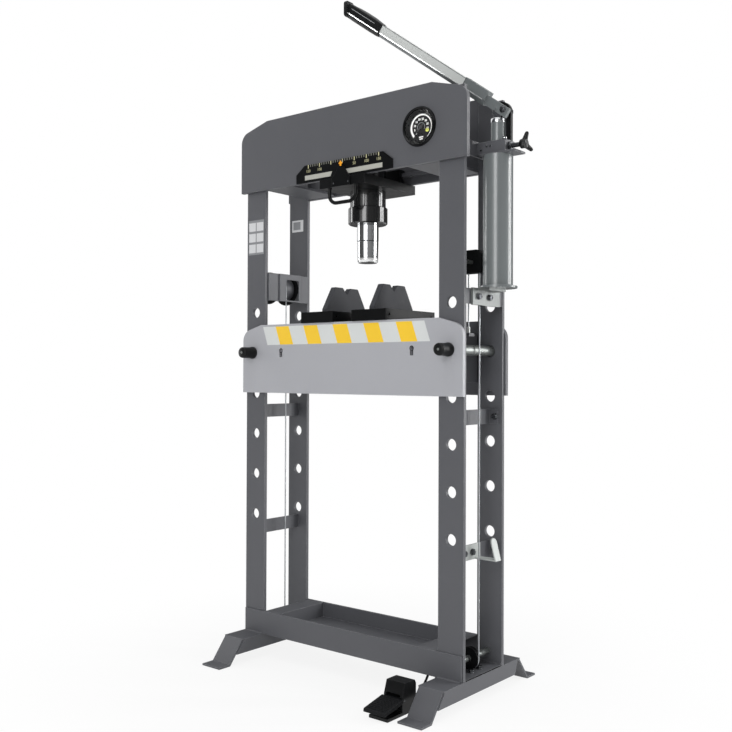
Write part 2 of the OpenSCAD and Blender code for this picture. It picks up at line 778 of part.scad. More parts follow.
// Block round the handle's bar, from u0 to u1 along it and with walls of thickness t
module bar_sleeve(u0, u1, t) plate_yz(bar_outline(t), u0, u1 - u0);

// Flat lever at the pump, its link pin, and the tube that takes the handle
module handle_socket() color(TANK_GREY) {
  rise = atan2(bend_z - lever_z, lever_x - bend_x);
  reach = norm([lever_x - bend_x, bend_z - lever_z]);
  difference() {
    translate([lever_x, lever_y, lever_z]) rotate([0, 180 + rise, 0])
      box(-20, reach + 14, -lever_t / 2, lever_t / 2, -11, 18);
    rod_y(lever_pin_d + 2 * FIT, lever_y - lever_t, lever_y + lever_t, lever_x, lever_z);
  }
  rod_y(link_pin_d, lever_y - 9, tongue_ht, pump_x, link_z);
  along_handle() difference() {
    bar_sleeve(8, socket_l, 3);
    bar_sleeve(24, socket_l + 1, 0);
  }
}

module handle_bar() color(ALUMINIUM) along_handle() bar_sleeve(24, handle_l - 8, 0);

// Closed grip with a flange at its end and a rounded collar at its mouth
module handle_grip() color(BLACK) along_handle() difference() {
  mouth = handle_l - grip_cover_l;
  union() {
    bar_sleeve(mouth, handle_l, 4);
    bar_sleeve(handle_l - 8, handle_l, 9);
    bar_sleeve(mouth, mouth + 8, 6);
  }
  bar_sleeve(mouth - 1, handle_l - 8, 0);
}

// Three-lobed knob on the release spindle, its lobes leaning outwards
module release_knob() color(BLACK) {
  rod_x(spindle_d, pump_x + 8, knob_x + 1, 0, valve_z);
  rod_x(28, knob_x, knob_x + hub_l, 0, valve_z);
  for (turn = [90, 210, 330]) translate([0, 0, valve_z]) rotate([turn, 0, 0]) hull() {
    translate([knob_x + 11, 5, 0]) sphere(r = 9, $fn = 24);
    translate([knob_end - lobe_r, knob_r - lobe_r, 0]) sphere(r = lobe_r, $fn = 24);
  }
}

module carriage_plate() color(BLACK) difference() {
  box(-carriage_hw, carriage_hw, -carriage_hd, carriage_hd, carriage_top - carriage_t, carriage_top);
  rod_z(barrel_d, carriage_top - carriage_t - 1, carriage_top + 1, 0, 0);
}

// Hooked plates that hang the carriage on the rails
module carriage_hangers() color(BLACK) both_sides_y() {
  y1 = y_out - rail_d - 2.5;
  box(-hanger_hw, hanger_hw, y1 - 10, y1, carriage_top, rail_top + 12);
  box(-hanger_hw, hanger_hw, y1 - 10, y_out - 3.5, rail_top + 0.3, rail_top + 12);
}

// Plate on the carriage's front, with its point on the scale's zero
module pointer_plate() color(BLACK) {
  low = carriage_top - carriage_t;
  plate_xz([
    [-pointer_hw, low], [pointer_hw, low], [pointer_hw, low + pointer_h], [0, low + pointer_rise],
    [-pointer_hw, low + pointer_h]
  ], -carriage_hd - pointer_t, pointer_t);
}

// Round bar bent to a U, welded under the carriage plate's front edge
module bail_handle() color(BLACK) {
  y = bail_d / 2 - carriage_hd;
  low = carriage_top - carriage_t;
  path = [
    [-bail_hw, y, low], [-bail_hw, y, low - bail_leg], [-bail_low_hw, y, low - bail_drop],
    [bail_low_hw, y, low - bail_drop], [bail_hw, y, low - bail_leg], [bail_hw, y, low]
  ];
  for (i = [0:len(path) - 2]) bar_between(path[i], path[i + 1], bail_d);
  for (i = [1:len(path) - 2]) translate(path[i]) sphere(d = bail_d + bend_swell);
}

// Closed cylinder with an oil port on its side, near the top
module cylinder_barrel() color(BLACK) {
  rotate_extrude() polygon([
    [bore_d / 2, barrel_bottom], [barrel_d / 2, barrel_bottom], [barrel_d / 2, barrel_top],
    [0, barrel_top], [0, barrel_top - cap_t], [bore_d / 2, barrel_top - cap_t]
  ]);
  rod_x(26, barrel_d / 2 - 2, barrel_d / 2 + 14, 0, barrel_top - 30);
}

module gland_collar() color(BLACK) rotate_extrude() polygon([
  [ram_d / 2 + FIT, collar_bottom], [collar_d / 2 - 4, collar_bottom], [collar_d / 2, collar_bottom + 4],
  [collar_d / 2, collar_bottom + collar_h - 2], [collar_d / 2 - 2, collar_bottom + collar_h],
  [barrel_d / 2, collar_bottom + collar_h], [barrel_d / 2, barrel_bottom], [ram_d / 2 + FIT, barrel_bottom]
]);

// Coil spring round the ram, between the gland and the piston
module return_spring() color(CHROME) {
  low = barrel_bottom + spring_wire / 2;
  high = piston_top - piston_h - spring_wire / 2;
  mean_r = (ram_d + bore_d) / 4;
  steps = spring_turns * spring_ring_steps;
  tube([for (i = [0:steps])
    let (a = 360 * i / spring_ring_steps)
    [mean_r * cos(a), mean_r * sin(a), low + (high - low) * i / steps]
  ], spring_wire, [0, 0, 1], 6);
}

module ram() color(CHROME) rotate_extrude() polygon([
  [0, nose_top - spigot_h], [spigot_r, nose_top - spigot_h], [spigot_r, nose_top], [ram_d / 2, nose_top],
  [ram_d / 2, piston_top - piston_h], [bore_d / 2 - FIT, piston_top - piston_h],
  [bore_d / 2 - FIT, piston_top], [0, piston_top]
]);

// Hardened nose on the ram's spigot, with a set-screw hole in its side
module ram_nose() color(CHROME) difference() {
  rotate_extrude() polygon([
    [0, ram_tip], [ram_d / 2 - 5, ram_tip], [ram_d / 2 - 2, ram_tip + 4], [ram_d / 2 - 0.5, nose_top - 4],
    [ram_d / 2 - 2, nose_top - 2], [ram_d / 2 - 2, nose_top],
    [spigot_r, nose_top], [spigot_r, nose_top - spigot_h], [0, nose_top - spigot_h]
  ]);
  rotate(25) rod_x(set_screw_d, spigot_r - 2, ram_d / 2 + 1, 0, ram_tip + set_screw_rise);
}

// Locking pin through both bed plates and both columns
module locking_pin(x) color(ZINC) {
  rod_y(pin_d, -bed_face - 2, bed_face + pin_tail - 4, x, pin_z);
  translate([x, bed_face + pin_tail - 4, pin_z]) rotate([-90, 0, 0])
    cylinder(d1 = pin_d, d2 = pin_d - 8, h = 4);
  rod_y(16, -bed_face - pin_flange_t - grip_l + 8, -bed_face - 2, x, pin_z);
}

module pin_grip(x) color(BLACK) difference() {
  union() {
    rod_y(grip_d + 4, -bed_face - pin_flange_t, -bed_face - 0.3, x, pin_z);
    rod_y(grip_d, -bed_face - pin_flange_t - grip_l + 4, -bed_face - pin_flange_t, x, pin_z);
    translate([x, -bed_face - pin_flange_t - grip_l + 4, pin_z]) rotate([90, 0, 0])
      cylinder(d1 = grip_d, d2 = grip_d - 8, h = 4);
  }
  rod_y(16, -bed_face - pin_flange_t - grip_l + 8, 0, x, pin_z);
  rod_y(pin_d, -bed_face - 2, 0, x, pin_z);
}

module left_pin() locking_pin(-col_x);
module left_pin_grip() pin_grip(-col_x);
module right_pin() locking_pin(col_x);
module right_pin_grip() pin_grip(col_x);

// Floor plate of the pedal with its tall valve housing, slotted for the tread's hinge
module pedal_base() color(BLACK) difference() {
  union() {
    box(pedal_x - pedal_hw, pedal_x + pedal_hw, pedal_front, pedal_back + 26, 0, 9);
    plate_yz([
      [hinge_y - 11, 8], [pedal_back, 8], [pedal_back, pedal_top - 10], [pedal_back - 6, pedal_top],
      [hinge_y + 2, pedal_top], [hinge_y - 11, 52]
    ], pedal_x - pedal_hw, 2 * pedal_hw);
  }
  box(pedal_x - pedal_hw + 8, pedal_x + pedal_hw - 8, hinge_y - 20, hinge_y + 11, 18, 58);
  rod_x(hinge_d, pedal_x - pedal_hw - 1, pedal_x + pedal_hw + 1, hinge_y, hinge_z);
}

// Sloping tread, hinged in the housing's slot
module pedal_tread() color(BLACK) difference() {
  union() {
    plate_yz([
      [tread_tip, 21], [tread_tip, 28], [tread_tip + 3, 31], [hinge_y - 13, 48], [hinge_y - 13, 37]
    ], pedal_x - tread_hw, 2 * tread_hw);
    plate_yz([
      [hinge_y - 14, 37], [hinge_y - 14, 48], [hinge_y, hinge_z + 7], [hinge_y, hinge_z - 7]
    ], pedal_x - pedal_hw + 9, 2 * pedal_hw - 18);
    rod_x(14, pedal_x - pedal_hw + 9, pedal_x + pedal_hw - 9, hinge_y, hinge_z);
  }
  rod_x(hinge_d + 2 * FIT, pedal_x - pedal_hw, pedal_x + pedal_hw, hinge_y, hinge_z);
}

module air_hose() color(BLACK) tube(smooth(air_route), air_d, [1, 0, 0], 10);
module signal_hose() color("#9a9c9e") tube(smooth(signal_route), signal_d, [1, 0, 0], 10);

module at_origin() translate([-origin_x, -origin_y, 0]) children();

at_origin() front_columns();
at_origin() rear_columns();
at_origin() beam_front_plate();
at_origin() beam_rear_plate();
at_origin() beam_ties();
at_origin() beam_rails();
at_origin() scale_plate();
at_origin() column_straps();
at_origin() frame_bolts();
at_origin() base_front_plate();
at_origin() base_rear_plate();
at_origin() base_tray();
at_origin() base_end_plates();
at_origin() feet();
at_origin() bed_front_plate();
at_origin() bed_rear_plate();
at_origin() bed_channels();
at_origin() press_plates();
at_origin() v_blocks();
at_origin() gauge_case();
at_origin() gauge_dial();
at_origin() gauge_lens();
at_origin() gauge_needle();
at_origin() winch_cover();
at_origin() winch_drum();
at_origin() lift_cable();
at_origin() sheave_axles();
at_origin() sheave_guard();
at_origin() lower_left_sheave();
at_origin() lower_right_sheave();
at_origin() upper_right_sheave();
at_origin() hook_bracket();
at_origin() pump_tank();
at_origin() pump_head();
at_origin() pump_barrel();
at_origin() pump_piston();
at_origin() pump_arch();
at_origin() pump_bracket();
at_origin() hinge_pins();
at_origin() handle_socket();
at_origin() handle_bar();
at_origin() handle_grip();
at_origin() release_knob();
at_origin() carriage_plate();
at_origin() carriage_hangers();
at_origin() pointer_plate();
at_origin() bail_handle();
at_origin() cylinder_barrel();
at_origin() gland_collar();
at_origin() return_spring();
at_origin() ram();
at_origin() ram_nose();
at_origin() left_pin();
at_origin() left_pin_grip();
at_origin() right_pin();
at_origin() right_pin_grip();
at_origin() pedal_base();
at_origin() pedal_tread();
at_origin() air_hose();
at_origin() signal_hose();
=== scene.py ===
"""Looks of a workshop press: paint, stripes, scale, gauge, hoses, cable, hardware and studio."""

import math

import bmesh
import bpy
from mathutils import Matrix, Vector


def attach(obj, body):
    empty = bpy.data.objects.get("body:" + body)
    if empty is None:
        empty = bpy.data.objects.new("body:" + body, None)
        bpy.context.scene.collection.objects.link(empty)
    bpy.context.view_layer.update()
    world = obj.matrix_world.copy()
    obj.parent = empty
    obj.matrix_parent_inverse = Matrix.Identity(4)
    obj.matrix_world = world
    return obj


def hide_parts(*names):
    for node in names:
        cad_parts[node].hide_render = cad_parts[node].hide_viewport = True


bl_info = {
    "name": "Workshop press finishes",
    "version": (1, 0, 0),
    "blender": (4, 5, 0),
    "location": "3D View > Sidebar > Press",
    "description": "Dresses the packed press with paint, metal, markings, cables and hardware",
    "category": "Object",
}

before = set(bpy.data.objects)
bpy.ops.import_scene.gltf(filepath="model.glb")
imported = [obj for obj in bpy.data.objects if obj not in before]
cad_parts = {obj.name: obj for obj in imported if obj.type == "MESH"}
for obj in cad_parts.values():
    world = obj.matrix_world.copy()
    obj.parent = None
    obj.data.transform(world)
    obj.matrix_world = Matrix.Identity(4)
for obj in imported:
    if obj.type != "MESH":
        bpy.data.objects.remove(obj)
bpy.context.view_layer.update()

# Places in millimetres, from the floor and from the middle between the columns
ORIGIN_X, ORIGIN_Y = 65.5, -17.0
BED_FACE = -127.5
SCALE_FACE = -131.5
POINTER_FACE = -140.0
COLUMN_FACE = -113.5
REAR_COLUMN_FACE = 101.5
HEAD_FACE = -24.0
DIAL_FACE = -118.5
COLUMN_MIDDLE = 414.0
PIN_Z = 1057.0
GAUGE_X, GAUGE_Z = 305.0, 1735.0
HANDLE_BEND = Vector((482.0, -14.0, 1808.0))
HANDLE_RISE = math.radians(36.2)
PUMP_X = 504.0
LEVER_X, LEVER_Z = 532.0, 1772.0
KNOB_X, KNOB_Z = 582.0, 1664.0
DRUM_X, DRUM_Z = -420.0, 1290.0
CABLE_TURN = 42.0

# How far a film reaches into its face, and a print into its ground
SUNK = 0.05
OVERLAP = 0.02

WHITE = (1, 1, 1, 1)
FLOAT, COLOUR, VECTOR = "NodeSocketFloat", "NodeSocketColor", "NodeSocketVector"


def linear(code):
    """Scene colour of a six-digit screen colour."""
    parts = [int(code[i:i + 2], 16) / 255 for i in (0, 2, 4)]
    return tuple(c / 12.92 if c <= 0.04045 else ((c + 0.055) / 1.055) ** 2.4 for c in parts)


def opaque(colour):
    return (colour[0], colour[1], colour[2], 1.0)


def mm(x, y, z):
    """Point given in millimetres from the middle between the columns, in the shared frame."""
    return Vector(((x - ORIGIN_X) / 1000, (y - ORIGIN_Y) / 1000, z / 1000))


def link(item):
    bpy.context.scene.collection.objects.link(item)
    return item


# Mesh tools, all in millimetres


def paint_faces(faces, index):
    for face in faces:
        face.material_index = index


def add_prism(bm, outline, axis, low, high, index=0):
    """Closed prism of a flat outline: (y, z) along X, (x, z) along Y or (x, y) along Z."""
    def lift(p, d):
        return {"X": (d, p[0], p[1]), "Y": (p[0], d, p[1]), "Z": (p[0], p[1], d)}[axis]

    ends = [[bm.verts.new(lift(p, d)) for p in outline] for d in (low, high)]
    count = len(outline)
    faces = [bm.faces.new(ends[0]), bm.faces.new(list(reversed(ends[1])))]
    for i in range(count):
        j = (i + 1) % count
        faces.append(bm.faces.new((ends[0][i], ends[1][i], ends[1][j], ends[0][j])))
    paint_faces(faces, index)


def add_box(bm, x0, x1, y0, y1, z0, z1, index=0):
    add_prism(bm, [(x0, y0), (x1, y0), (x1, y1), (x0, y1)], "Z", z0, z1, index)


def add_loft(bm, rings, closed=False):
    """Skin through rings of points that all have the same count; a closed one has no ends."""
    made = [[bm.verts.new(p) for p in ring] for ring in rings]
    count = len(made[0])
    faces = []
    for a, b in list(zip(made, made[1:])) + ([(made[-1], made[0])] if closed else []):
        for i in range(count):
            j = (i + 1) % count
            faces.append(bm.faces.new((a[i], b[i], b[j], a[j])))
    if not closed:
        faces.append(bm.faces.new(made[0]))
        faces.append(bm.faces.new(list(reversed(made[-1]))))
    return faces


def axis_frame(axis):
    """Three directions of a turned piece: along it, and two across it."""
    x, y, z = Vector((1, 0, 0)), Vector((0, 1, 0)), Vector((0, 0, 1))
    return {"X": (x, y, z), "Y": (y, z, x), "Z": (z, x, y)}[axis]


def circle(centre, u, v, radius, sides):
    """Points round a circle that lies in two directions."""
    turns = [2 * math.pi * k / sides for k in range(sides)]
    return [centre + (u * math.cos(a) + v * math.sin(a)) * radius for a in turns]


def add_turned(bm, profile, centre, axis, sides, closed=False):
    """Turned piece from (radius, distance along the axis) pairs; radius 0 closes an end."""
    along, u, v = axis_frame(axis)
    centre = Vector(centre)
    tip = 0.01
    rings = [circle(centre + along * h, u, v, max(r, tip), sides) for r, h in profile]
    add_loft(bm, rings, closed)


def across(points, i, side):
    """Two directions square to a path at one of its points."""
    ahead = points[min(i + 1, len(points) - 1)] - points[max(i - 1, 0)]
    t = ahead.normalized()
    u = side.cross(t).normalized()
    return u, t.cross(u)


def add_tube(bm, points, radius, side, sides=10, swell=None):
    """Round bar along points; side is a direction that the path never follows."""
    points = [Vector(p) for p in points]
    side = Vector(side)
    rings = []
    for i, p in enumerate(points):
        u, v = across(points, i, side)
        rings.append(circle(p, u, v, radius if swell is None else radius * swell(i), sides))
    add_loft(bm, rings)


def resampled(points, step):
    """Points at even steps along a polyline."""
    points = [Vector(p) for p in points]
    out, left = [points[0]], step
    for a, b in zip(points, points[1:]):
        run = (b - a).length
        while run >= left > 0:
            a = a + (b - a).normalized() * left
            run -= left
            left = step
            out.append(a)
        left -= run
    if (out[-1] - points[-1]).length > step * 0.2:
        out.append(points[-1])
    return out


def rounded_path(points, radius, steps=8):
    """Polyline whose corners are replaced by curves."""
    points = [Vector(p) for p in points]
    out = [points[0]]
    for a, b, c in zip(points, points[1:], points[2:]):
        start = b + (a - b).normalized() * min(radius, (a - b).length / 2)
        end = b + (c - b).normalized() * min(radius, (c - b).length / 2)
        for k in range(steps + 1):
            t = k / steps
            out.append(start * (1 - t) ** 2 + b * 2 * t * (1 - t) + end * t * t)
    out.append(points[-1])
    return out


def smoothed(points, steps):
    """Smooth curve through given points, with points between each pair."""
    p = [Vector(q) for q in points]
    out = []
    for i in range(len(p) - 1):
        a, b, c, d = p[max(i - 1, 0)], p[i], p[i + 1], p[min(i + 2, len(p) - 1)]
        for k in range(steps):
            t = k / steps
            out.append((b * 2 + (c - a) * t + (a * 2 - b * 5 + c * 4 - d) * t * t
                        + (b * 3 - a - c * 3 + d) * t ** 3) * 0.5)
    out.append(p[-1])
    return out


def polar(x, z, r, degrees):
    a = math.radians(degrees)
    return (x + r * math.cos(a), z + r * math.sin(a))


def arc_points(x, z, r, start, end, steps):
    return [polar(x, z, r, start + (end - start) * k / steps) for k in range(steps + 1)]


def add_weld(bm, a, b, radius):
    """Rippled weld bead in a corner, from one point to another."""
    points = resampled([a, b], 1.5)
    upright = abs((Vector(b) - Vector(a)).normalized().z) >= 0.9
    last = len(points) - 1

    def ripple(i):
        return 0.5 if i in (0, last) else 1 + 0.13 * math.sin(i * 1.9) + 0.05 * math.sin(i * 0.7)

    add_tube(bm, points, radius, (1, 0, 0) if upright else (0, 0, 1), 8, ripple)


def add_hex_bolt(bm, at, axis, sign=1, flats=17.0, height=7.0, washer=21.0):
    """Chamfered hexagon head on a washer, standing on a face along an axis."""
    along, u, v = axis_frame(axis)
    along = along * sign
    at = Vector(at)
    rim = washer / 2
    corner = flats / 2 / math.cos(math.pi / 6)
    plate = ((rim, 0.0), (rim, 1.5), (rim - 0.4, 2.0))
    head = ((corner, 1.9), (corner, height + 0.4), (corner - 1.1, height + 1.6),
            (corner * 0.62, height + 2.0))
    for profile, sides in ((plate, 32), (head, 6)):
        add_loft(bm, [circle(at + along * h, u, v, r, sides) for r, h in profile])


def add_text(bm, words, size, place, bold=0.0):
    """Numerals as thin shapes; place maps their own flat coordinates to the press."""
    curve = bpy.data.curves.new("numerals", "FONT")
    curve.body = words
    curve.size = size
    curve.offset = bold
    curve.align_x = "CENTER"
    curve.align_y = "CENTER"
    curve.resolution_u = 4
    holder = link(bpy.data.objects.new("numerals", curve))
    drawn = holder.evaluated_get(bpy.context.evaluated_depsgraph_get())
    flat = bpy.data.meshes.new_from_object(drawn)
    bpy.data.objects.remove(holder)
    bpy.data.curves.remove(curve)
    verts = [bm.verts.new(place(v.co.x, v.co.y)) for v in flat.vertices]
    for polygon in flat.polygons:
        bm.faces.new([verts[i] for i in polygon.vertices])
    bpy.data.meshes.remove(flat)


def film_depths(face, layer="whole"):
    """Front and back of a printed film on a face; a ground and its print share the thickness."""
    film = size("sticker_thickness")
    return {
        "whole": (face - film, face + SUNK),
        "ground": (face - film / 2, face + SUNK),
        "print": (face - film, face - film / 2 + OVERLAP),
    }[layer]


def new_object(name, data, body, replaces):
    piece = link(bpy.data.objects.new(name, data))
    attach(piece, body)
    if replaces:
        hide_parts(*replaces)
    return piece


def round_edges(piece, width, segments, angle):
    """Bevels edges that are sharper than an angle in degrees."""
    edge = piece.modifiers.new("Rounded edges", "BEVEL")
    edge.width = width / 1000
    edge.segments = segments
    edge.limit_method = "ANGLE"
    edge.angle_limit = math.radians(angle)
    return edge


def make_piece(name, bm, materials, slot, body="frame", replaces=(), bevel=0.0, segments=2,
               sharp=40.0):
    """Turns a mesh in millimetres into a piece that rides on a body."""
    for vert in bm.verts:
        vert.co = mm(*vert.co)
    bmesh.ops.recalc_face_normals(bm, faces=bm.faces)
    mesh = bpy.data.meshes.new(name)
    bm.to_mesh(mesh)
    bm.free()
    for material in materials if isinstance(materials, list) else [materials]:
        mesh.materials.append(material)
    mesh.shade_smooth()
    if not bevel:
        mesh.set_sharp_from_angle(angle=math.radians(sharp))
    piece = new_object(name, mesh, body, replaces)
    if bevel:
        round_edges(piece, bevel, segments, 28).harden_normals = True
    return piece


def turned_piece(name, profile, centre, axis, sides, material, slot, closed=False, **more):
    bm = bmesh.new()
    add_turned(bm, profile, centre, axis, sides, closed)
    make_piece(name, bm, material, slot, **more)


def dress(material, *nodes):
    """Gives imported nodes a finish."""
    for name in nodes:
        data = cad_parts[name].data
        data.materials.clear()
        data.materials.append(material)


# Node tools


def put(tree, kind, inputs=None, **fields):
    """Adds a node, sets its fields, and sets or links its inputs."""
    made = tree.nodes.new(kind)
    for key, value in fields.items():
        setattr(made, key, value)
    for key, value in (inputs or {}).items():
        if isinstance(value, bpy.types.NodeSocket):
            tree.links.new(value, made.inputs[key])
        else:
            made.inputs[key].default_value = value
    return made


def mix_colours(tree, factor, a, b, blend="MIX"):
    return put(tree, "ShaderNodeMix", {0: factor, 6: a, 7: b}, data_type="RGBA",
               blend_type=blend).outputs[2]


def maths(tree, operation, a, b, clamp=False):
    return put(tree, "ShaderNodeMath", {0: a, 1: b}, operation=operation,
               use_clamp=clamp).outputs[0]


def times_plus(tree, value, factor, offset, clamp=False):
    return maths(tree, "ADD", maths(tree, "MULTIPLY", value, factor), offset, clamp)


def shared(tree, a, share, b):
    """Mean of two values, of which the first has a given share."""
    return times_plus(tree, a, share, maths(tree, "MULTIPLY", b, 1 - share))


def spread(tree, value, low, high, to_low=0.0, to_high=1.0, shape="LINEAR"):
    return put(tree, "ShaderNodeMapRange", {0: value, 1: low, 2: high, 3: to_low, 4: to_high},
               interpolation_type=shape).outputs[0]


def vectors(tree, operation, inputs):
    return put(tree, "ShaderNodeVectorMath", inputs, operation=operation).outputs


def surface_point(tree):
    return put(tree, "ShaderNodeTexCoord").outputs["Object"]


def noise(tree, spot, scale, detail):
    return put(tree, "ShaderNodeTexNoise",
               {"Vector": spot, "Scale": scale, "Detail": detail}).outputs["Fac"]


def seen_rays(tree):
    """1 for rays of the camera, of reflections and through glass, else 0."""
    path = put(tree, "ShaderNodeLightPath").outputs
    first = maths(tree, "ADD", path["Is Camera Ray"], path["Is Glossy Ray"])
    return maths(tree, "ADD", first, path["Is Transmission Ray"], True)


def mix_shaders(tree, factor, a, b):
    return put(tree, "ShaderNodeMixShader", {0: factor, 1: a, 2: b}).outputs[0]


def show(tree, shader):
    tree.links.new(shader, tree.nodes["Material Output"].inputs["Surface"])


# Effects that finishes share


def effect(name, inputs, outputs):
    """Makes a shader group of a function that gives its outputs; it is built on first use."""
    def wrap(fill):
        def group():
            if name not in bpy.data.node_groups:
                tree = bpy.data.node_groups.new(name, "ShaderNodeTree")
                for label, kind, value in inputs:
                    socket = tree.interface.new_socket(label, in_out="INPUT", socket_type=kind)
                    socket.default_value = value
                for label, kind in outputs:
                    tree.interface.new_socket(label, in_out="OUTPUT", socket_type=kind)
                out = tree.nodes.new("NodeGroupOutput").inputs
                made = fill(tree, tree.nodes.new("NodeGroupInput").outputs)
                for label, value in made.items():
                    tree.links.new(value, out[label])
            return bpy.data.node_groups[name]
        return group
    return wrap


@effect("Sprayed coat",
        [("Colour", COLOUR, (0.1, 0.1, 0.1, 1)), ("Gloss", FLOAT, 0.4),
         ("Peel scale", FLOAT, 700.0), ("Unevenness", FLOAT, 0.1)],
        [("Colour", COLOUR), ("Roughness", FLOAT), ("Height", FLOAT)])
def coat_group(tree, given):
    """Sprayed paint: slow shade changes, uneven gloss and a fine orange peel."""
    spot = surface_point(tree)
    cloud = noise(tree, spot, 5.0, 4.0)
    speck = noise(tree, spot, 160.0, 3.0)
    middle = maths(tree, "SUBTRACT", shared(tree, cloud, 0.7, speck), 0.5)
    swing = maths(tree, "MULTIPLY", middle, given["Unevenness"])
    shade = times_plus(tree, swing, 2.0, 1.0)
    return {
        "Colour": vectors(tree, "SCALE", {0: given["Colour"], "Scale": shade})[0],
        "Roughness": times_plus(tree, swing, 1.6, given["Gloss"], True),
        "Height": noise(tree, spot, given["Peel scale"], 2.0),
    }


@effect("Edge rub",
        [("Radius", FLOAT, 0.0015), ("Patchiness", FLOAT, 0.5)],
        [("Mask", FLOAT), ("Normal", VECTOR)])
def edge_group(tree, given):
    """Rounded-edge normal, and a mask of the edges, which are lightened both as rubbed wear and as
    a painted highlight.
    """
    rounded = put(tree, "ShaderNodeBevel", {"Radius": given["Radius"]}, samples=6).outputs[0]
    true = put(tree, "ShaderNodeNewGeometry").outputs["Normal"]
    alike = vectors(tree, "DOT_PRODUCT", {0: rounded, 1: true})["Value"]
    bend = spread(tree, alike, 0.995, 0.80)
    patches = spread(tree, noise(tree, surface_point(tree), 38.0, 5.0), 0.38, 0.66)
    kept = maths(tree, "SUBTRACT", 1.0, given["Patchiness"])
    share = times_plus(tree, patches, given["Patchiness"], kept)
    return {"Mask": maths(tree, "MULTIPLY", bend, share, True), "Normal": rounded}


@effect("Brushed lines",
        [("Stretch", VECTOR, (1.0, 1.0, 1.0)), ("Dull", FLOAT, 0.2), ("Swing", FLOAT, 0.2)],
        [("Shade", FLOAT), ("Roughness", FLOAT), ("Height", FLOAT)])
def brush_group(tree, given):
    """Fine lines of drawn, turned or brushed metal."""
    spot = surface_point(tree)
    lines = noise(tree, vectors(tree, "MULTIPLY", {0: spot, 1: given["Stretch"]})[0], 1.0, 4.0)
    smear = noise(tree, spot, 18.0, 4.0)
    middle = maths(tree, "SUBTRACT", shared(tree, lines, 0.6, smear), 0.5)
    return {
        "Shade": times_plus(tree, middle, 0.5, 1.0),
        "Roughness": times_plus(tree, middle, given["Swing"], given["Dull"], True),
        "Height": lines,
    }


@effect("Moulded skin",
        [("Pebble scale", FLOAT, 1200.0), ("Gloss", FLOAT, 0.5)],
        [("Shade", FLOAT), ("Roughness", FLOAT), ("Height", FLOAT)])
def skin_group(tree, given):
    """Pebbled skin of castings and moulded parts."""
    spot = surface_point(tree)
    pebble = put(tree, "ShaderNodeTexVoronoi", {"Vector": spot, "Scale": given["Pebble scale"]},
                 feature="SMOOTH_F1").outputs["Distance"]
    middle = maths(tree, "SUBTRACT", noise(tree, spot, 30.0, 5.0), 0.5)
    return {
        "Shade": times_plus(tree, middle, 0.6, 1.0),
        "Roughness": times_plus(tree, middle, 0.25, given["Gloss"], True),
        "Height": pebble,
    }


def place_group(tree, group, values):
    made = tree.nodes.new("ShaderNodeGroup")
    made.node_tree = group
    for key, value in values.items():
        made.inputs[key].default_value = value
    return made.outputs


# Kinds of finish; radius and depth in millimetres, the edge colour as a screen colour (edges
# lightened as wear and as a painted highlight)


def new_material(name, **values):
    """Material with one Principled shader, whose constant sockets are set here."""
    material = bpy.data.materials.new(name)
    material.use_nodes = True
    shader = material.node_tree.nodes["Principled BSDF"]
    for key, value in values.items():
        shader.inputs[key.replace("_", " ").title().replace("Ior", "IOR")].default_value = value
    return material, material.node_tree, shader


def surface(name, group, values, tint, patchy, radius, relief, depth, rub=None, rub_share=1.0,
            **constants):
    """Material over one effect, with rounded edges that may be lightened, as wear and as a painted
    highlight.
    """
    if name in bpy.data.materials:
        return bpy.data.materials[name]
    material, tree, shader = new_material(name, **constants)
    made = place_group(tree, group(), values)
    edge = place_group(tree, edge_group(), {"Radius": radius / 1000, "Patchiness": patchy})
    if tint is None:
        shown = made["Colour"]
    else:
        grey = put(tree, "ShaderNodeCombineColor", dict.fromkeys(range(3), made["Shade"]))
        shown = mix_colours(tree, 1.0, grey.outputs[0], opaque(tint), "MULTIPLY")
    # Edges lightened both as rubbed wear and as a painted highlight
    if rub is not None:
        mask = maths(tree, "MULTIPLY", edge["Mask"], rub_share)
        shown = mix_colours(tree, mask, shown, opaque(linear(rub)))
    bump = put(tree, "ShaderNodeBump", {"Height": made["Height"], "Normal": edge["Normal"],
                                        "Strength": relief, "Distance": depth / 1000})
    tree.links.new(shown, shader.inputs["Base Color"])
    tree.links.new(made["Roughness"], shader.inputs["Roughness"])
    tree.links.new(bump.outputs[0], shader.inputs["Normal"])
    return material


def painted(name, colour, gloss, uneven, radius, peel=700.0, depth=0.03, **more):
    """Sprayed paint."""
    values = {"Colour": opaque(colour), "Gloss": gloss, "Peel scale": peel, "Unevenness": uneven}
    return surface(name, coat_group, values, None, 0.6, radius, 0.6, depth, **more)


def metal(name, code, dull, swing, stretch=(60.0, 60.0, 60.0), depth=0.01, radius=0.8, bare=1.0,
          **more):
    """Bare or plated metal with fine lines and smears."""
    values = {"Stretch": stretch, "Dull": dull, "Swing": swing}
    return surface(name, brush_group, values, linear(code), 0.4, radius, 0.5, depth,
                   metallic=bare, **more)


def moulded(name, colour, gloss, pebble, depth, radius, **more):
    """Pebbled plastic, rubber or cast iron."""
    values = {"Pebble scale": pebble, "Gloss": gloss}
    return surface(name, skin_group, values, colour, 0.7, radius, 0.5, depth, **more)


# Settings that a user may change


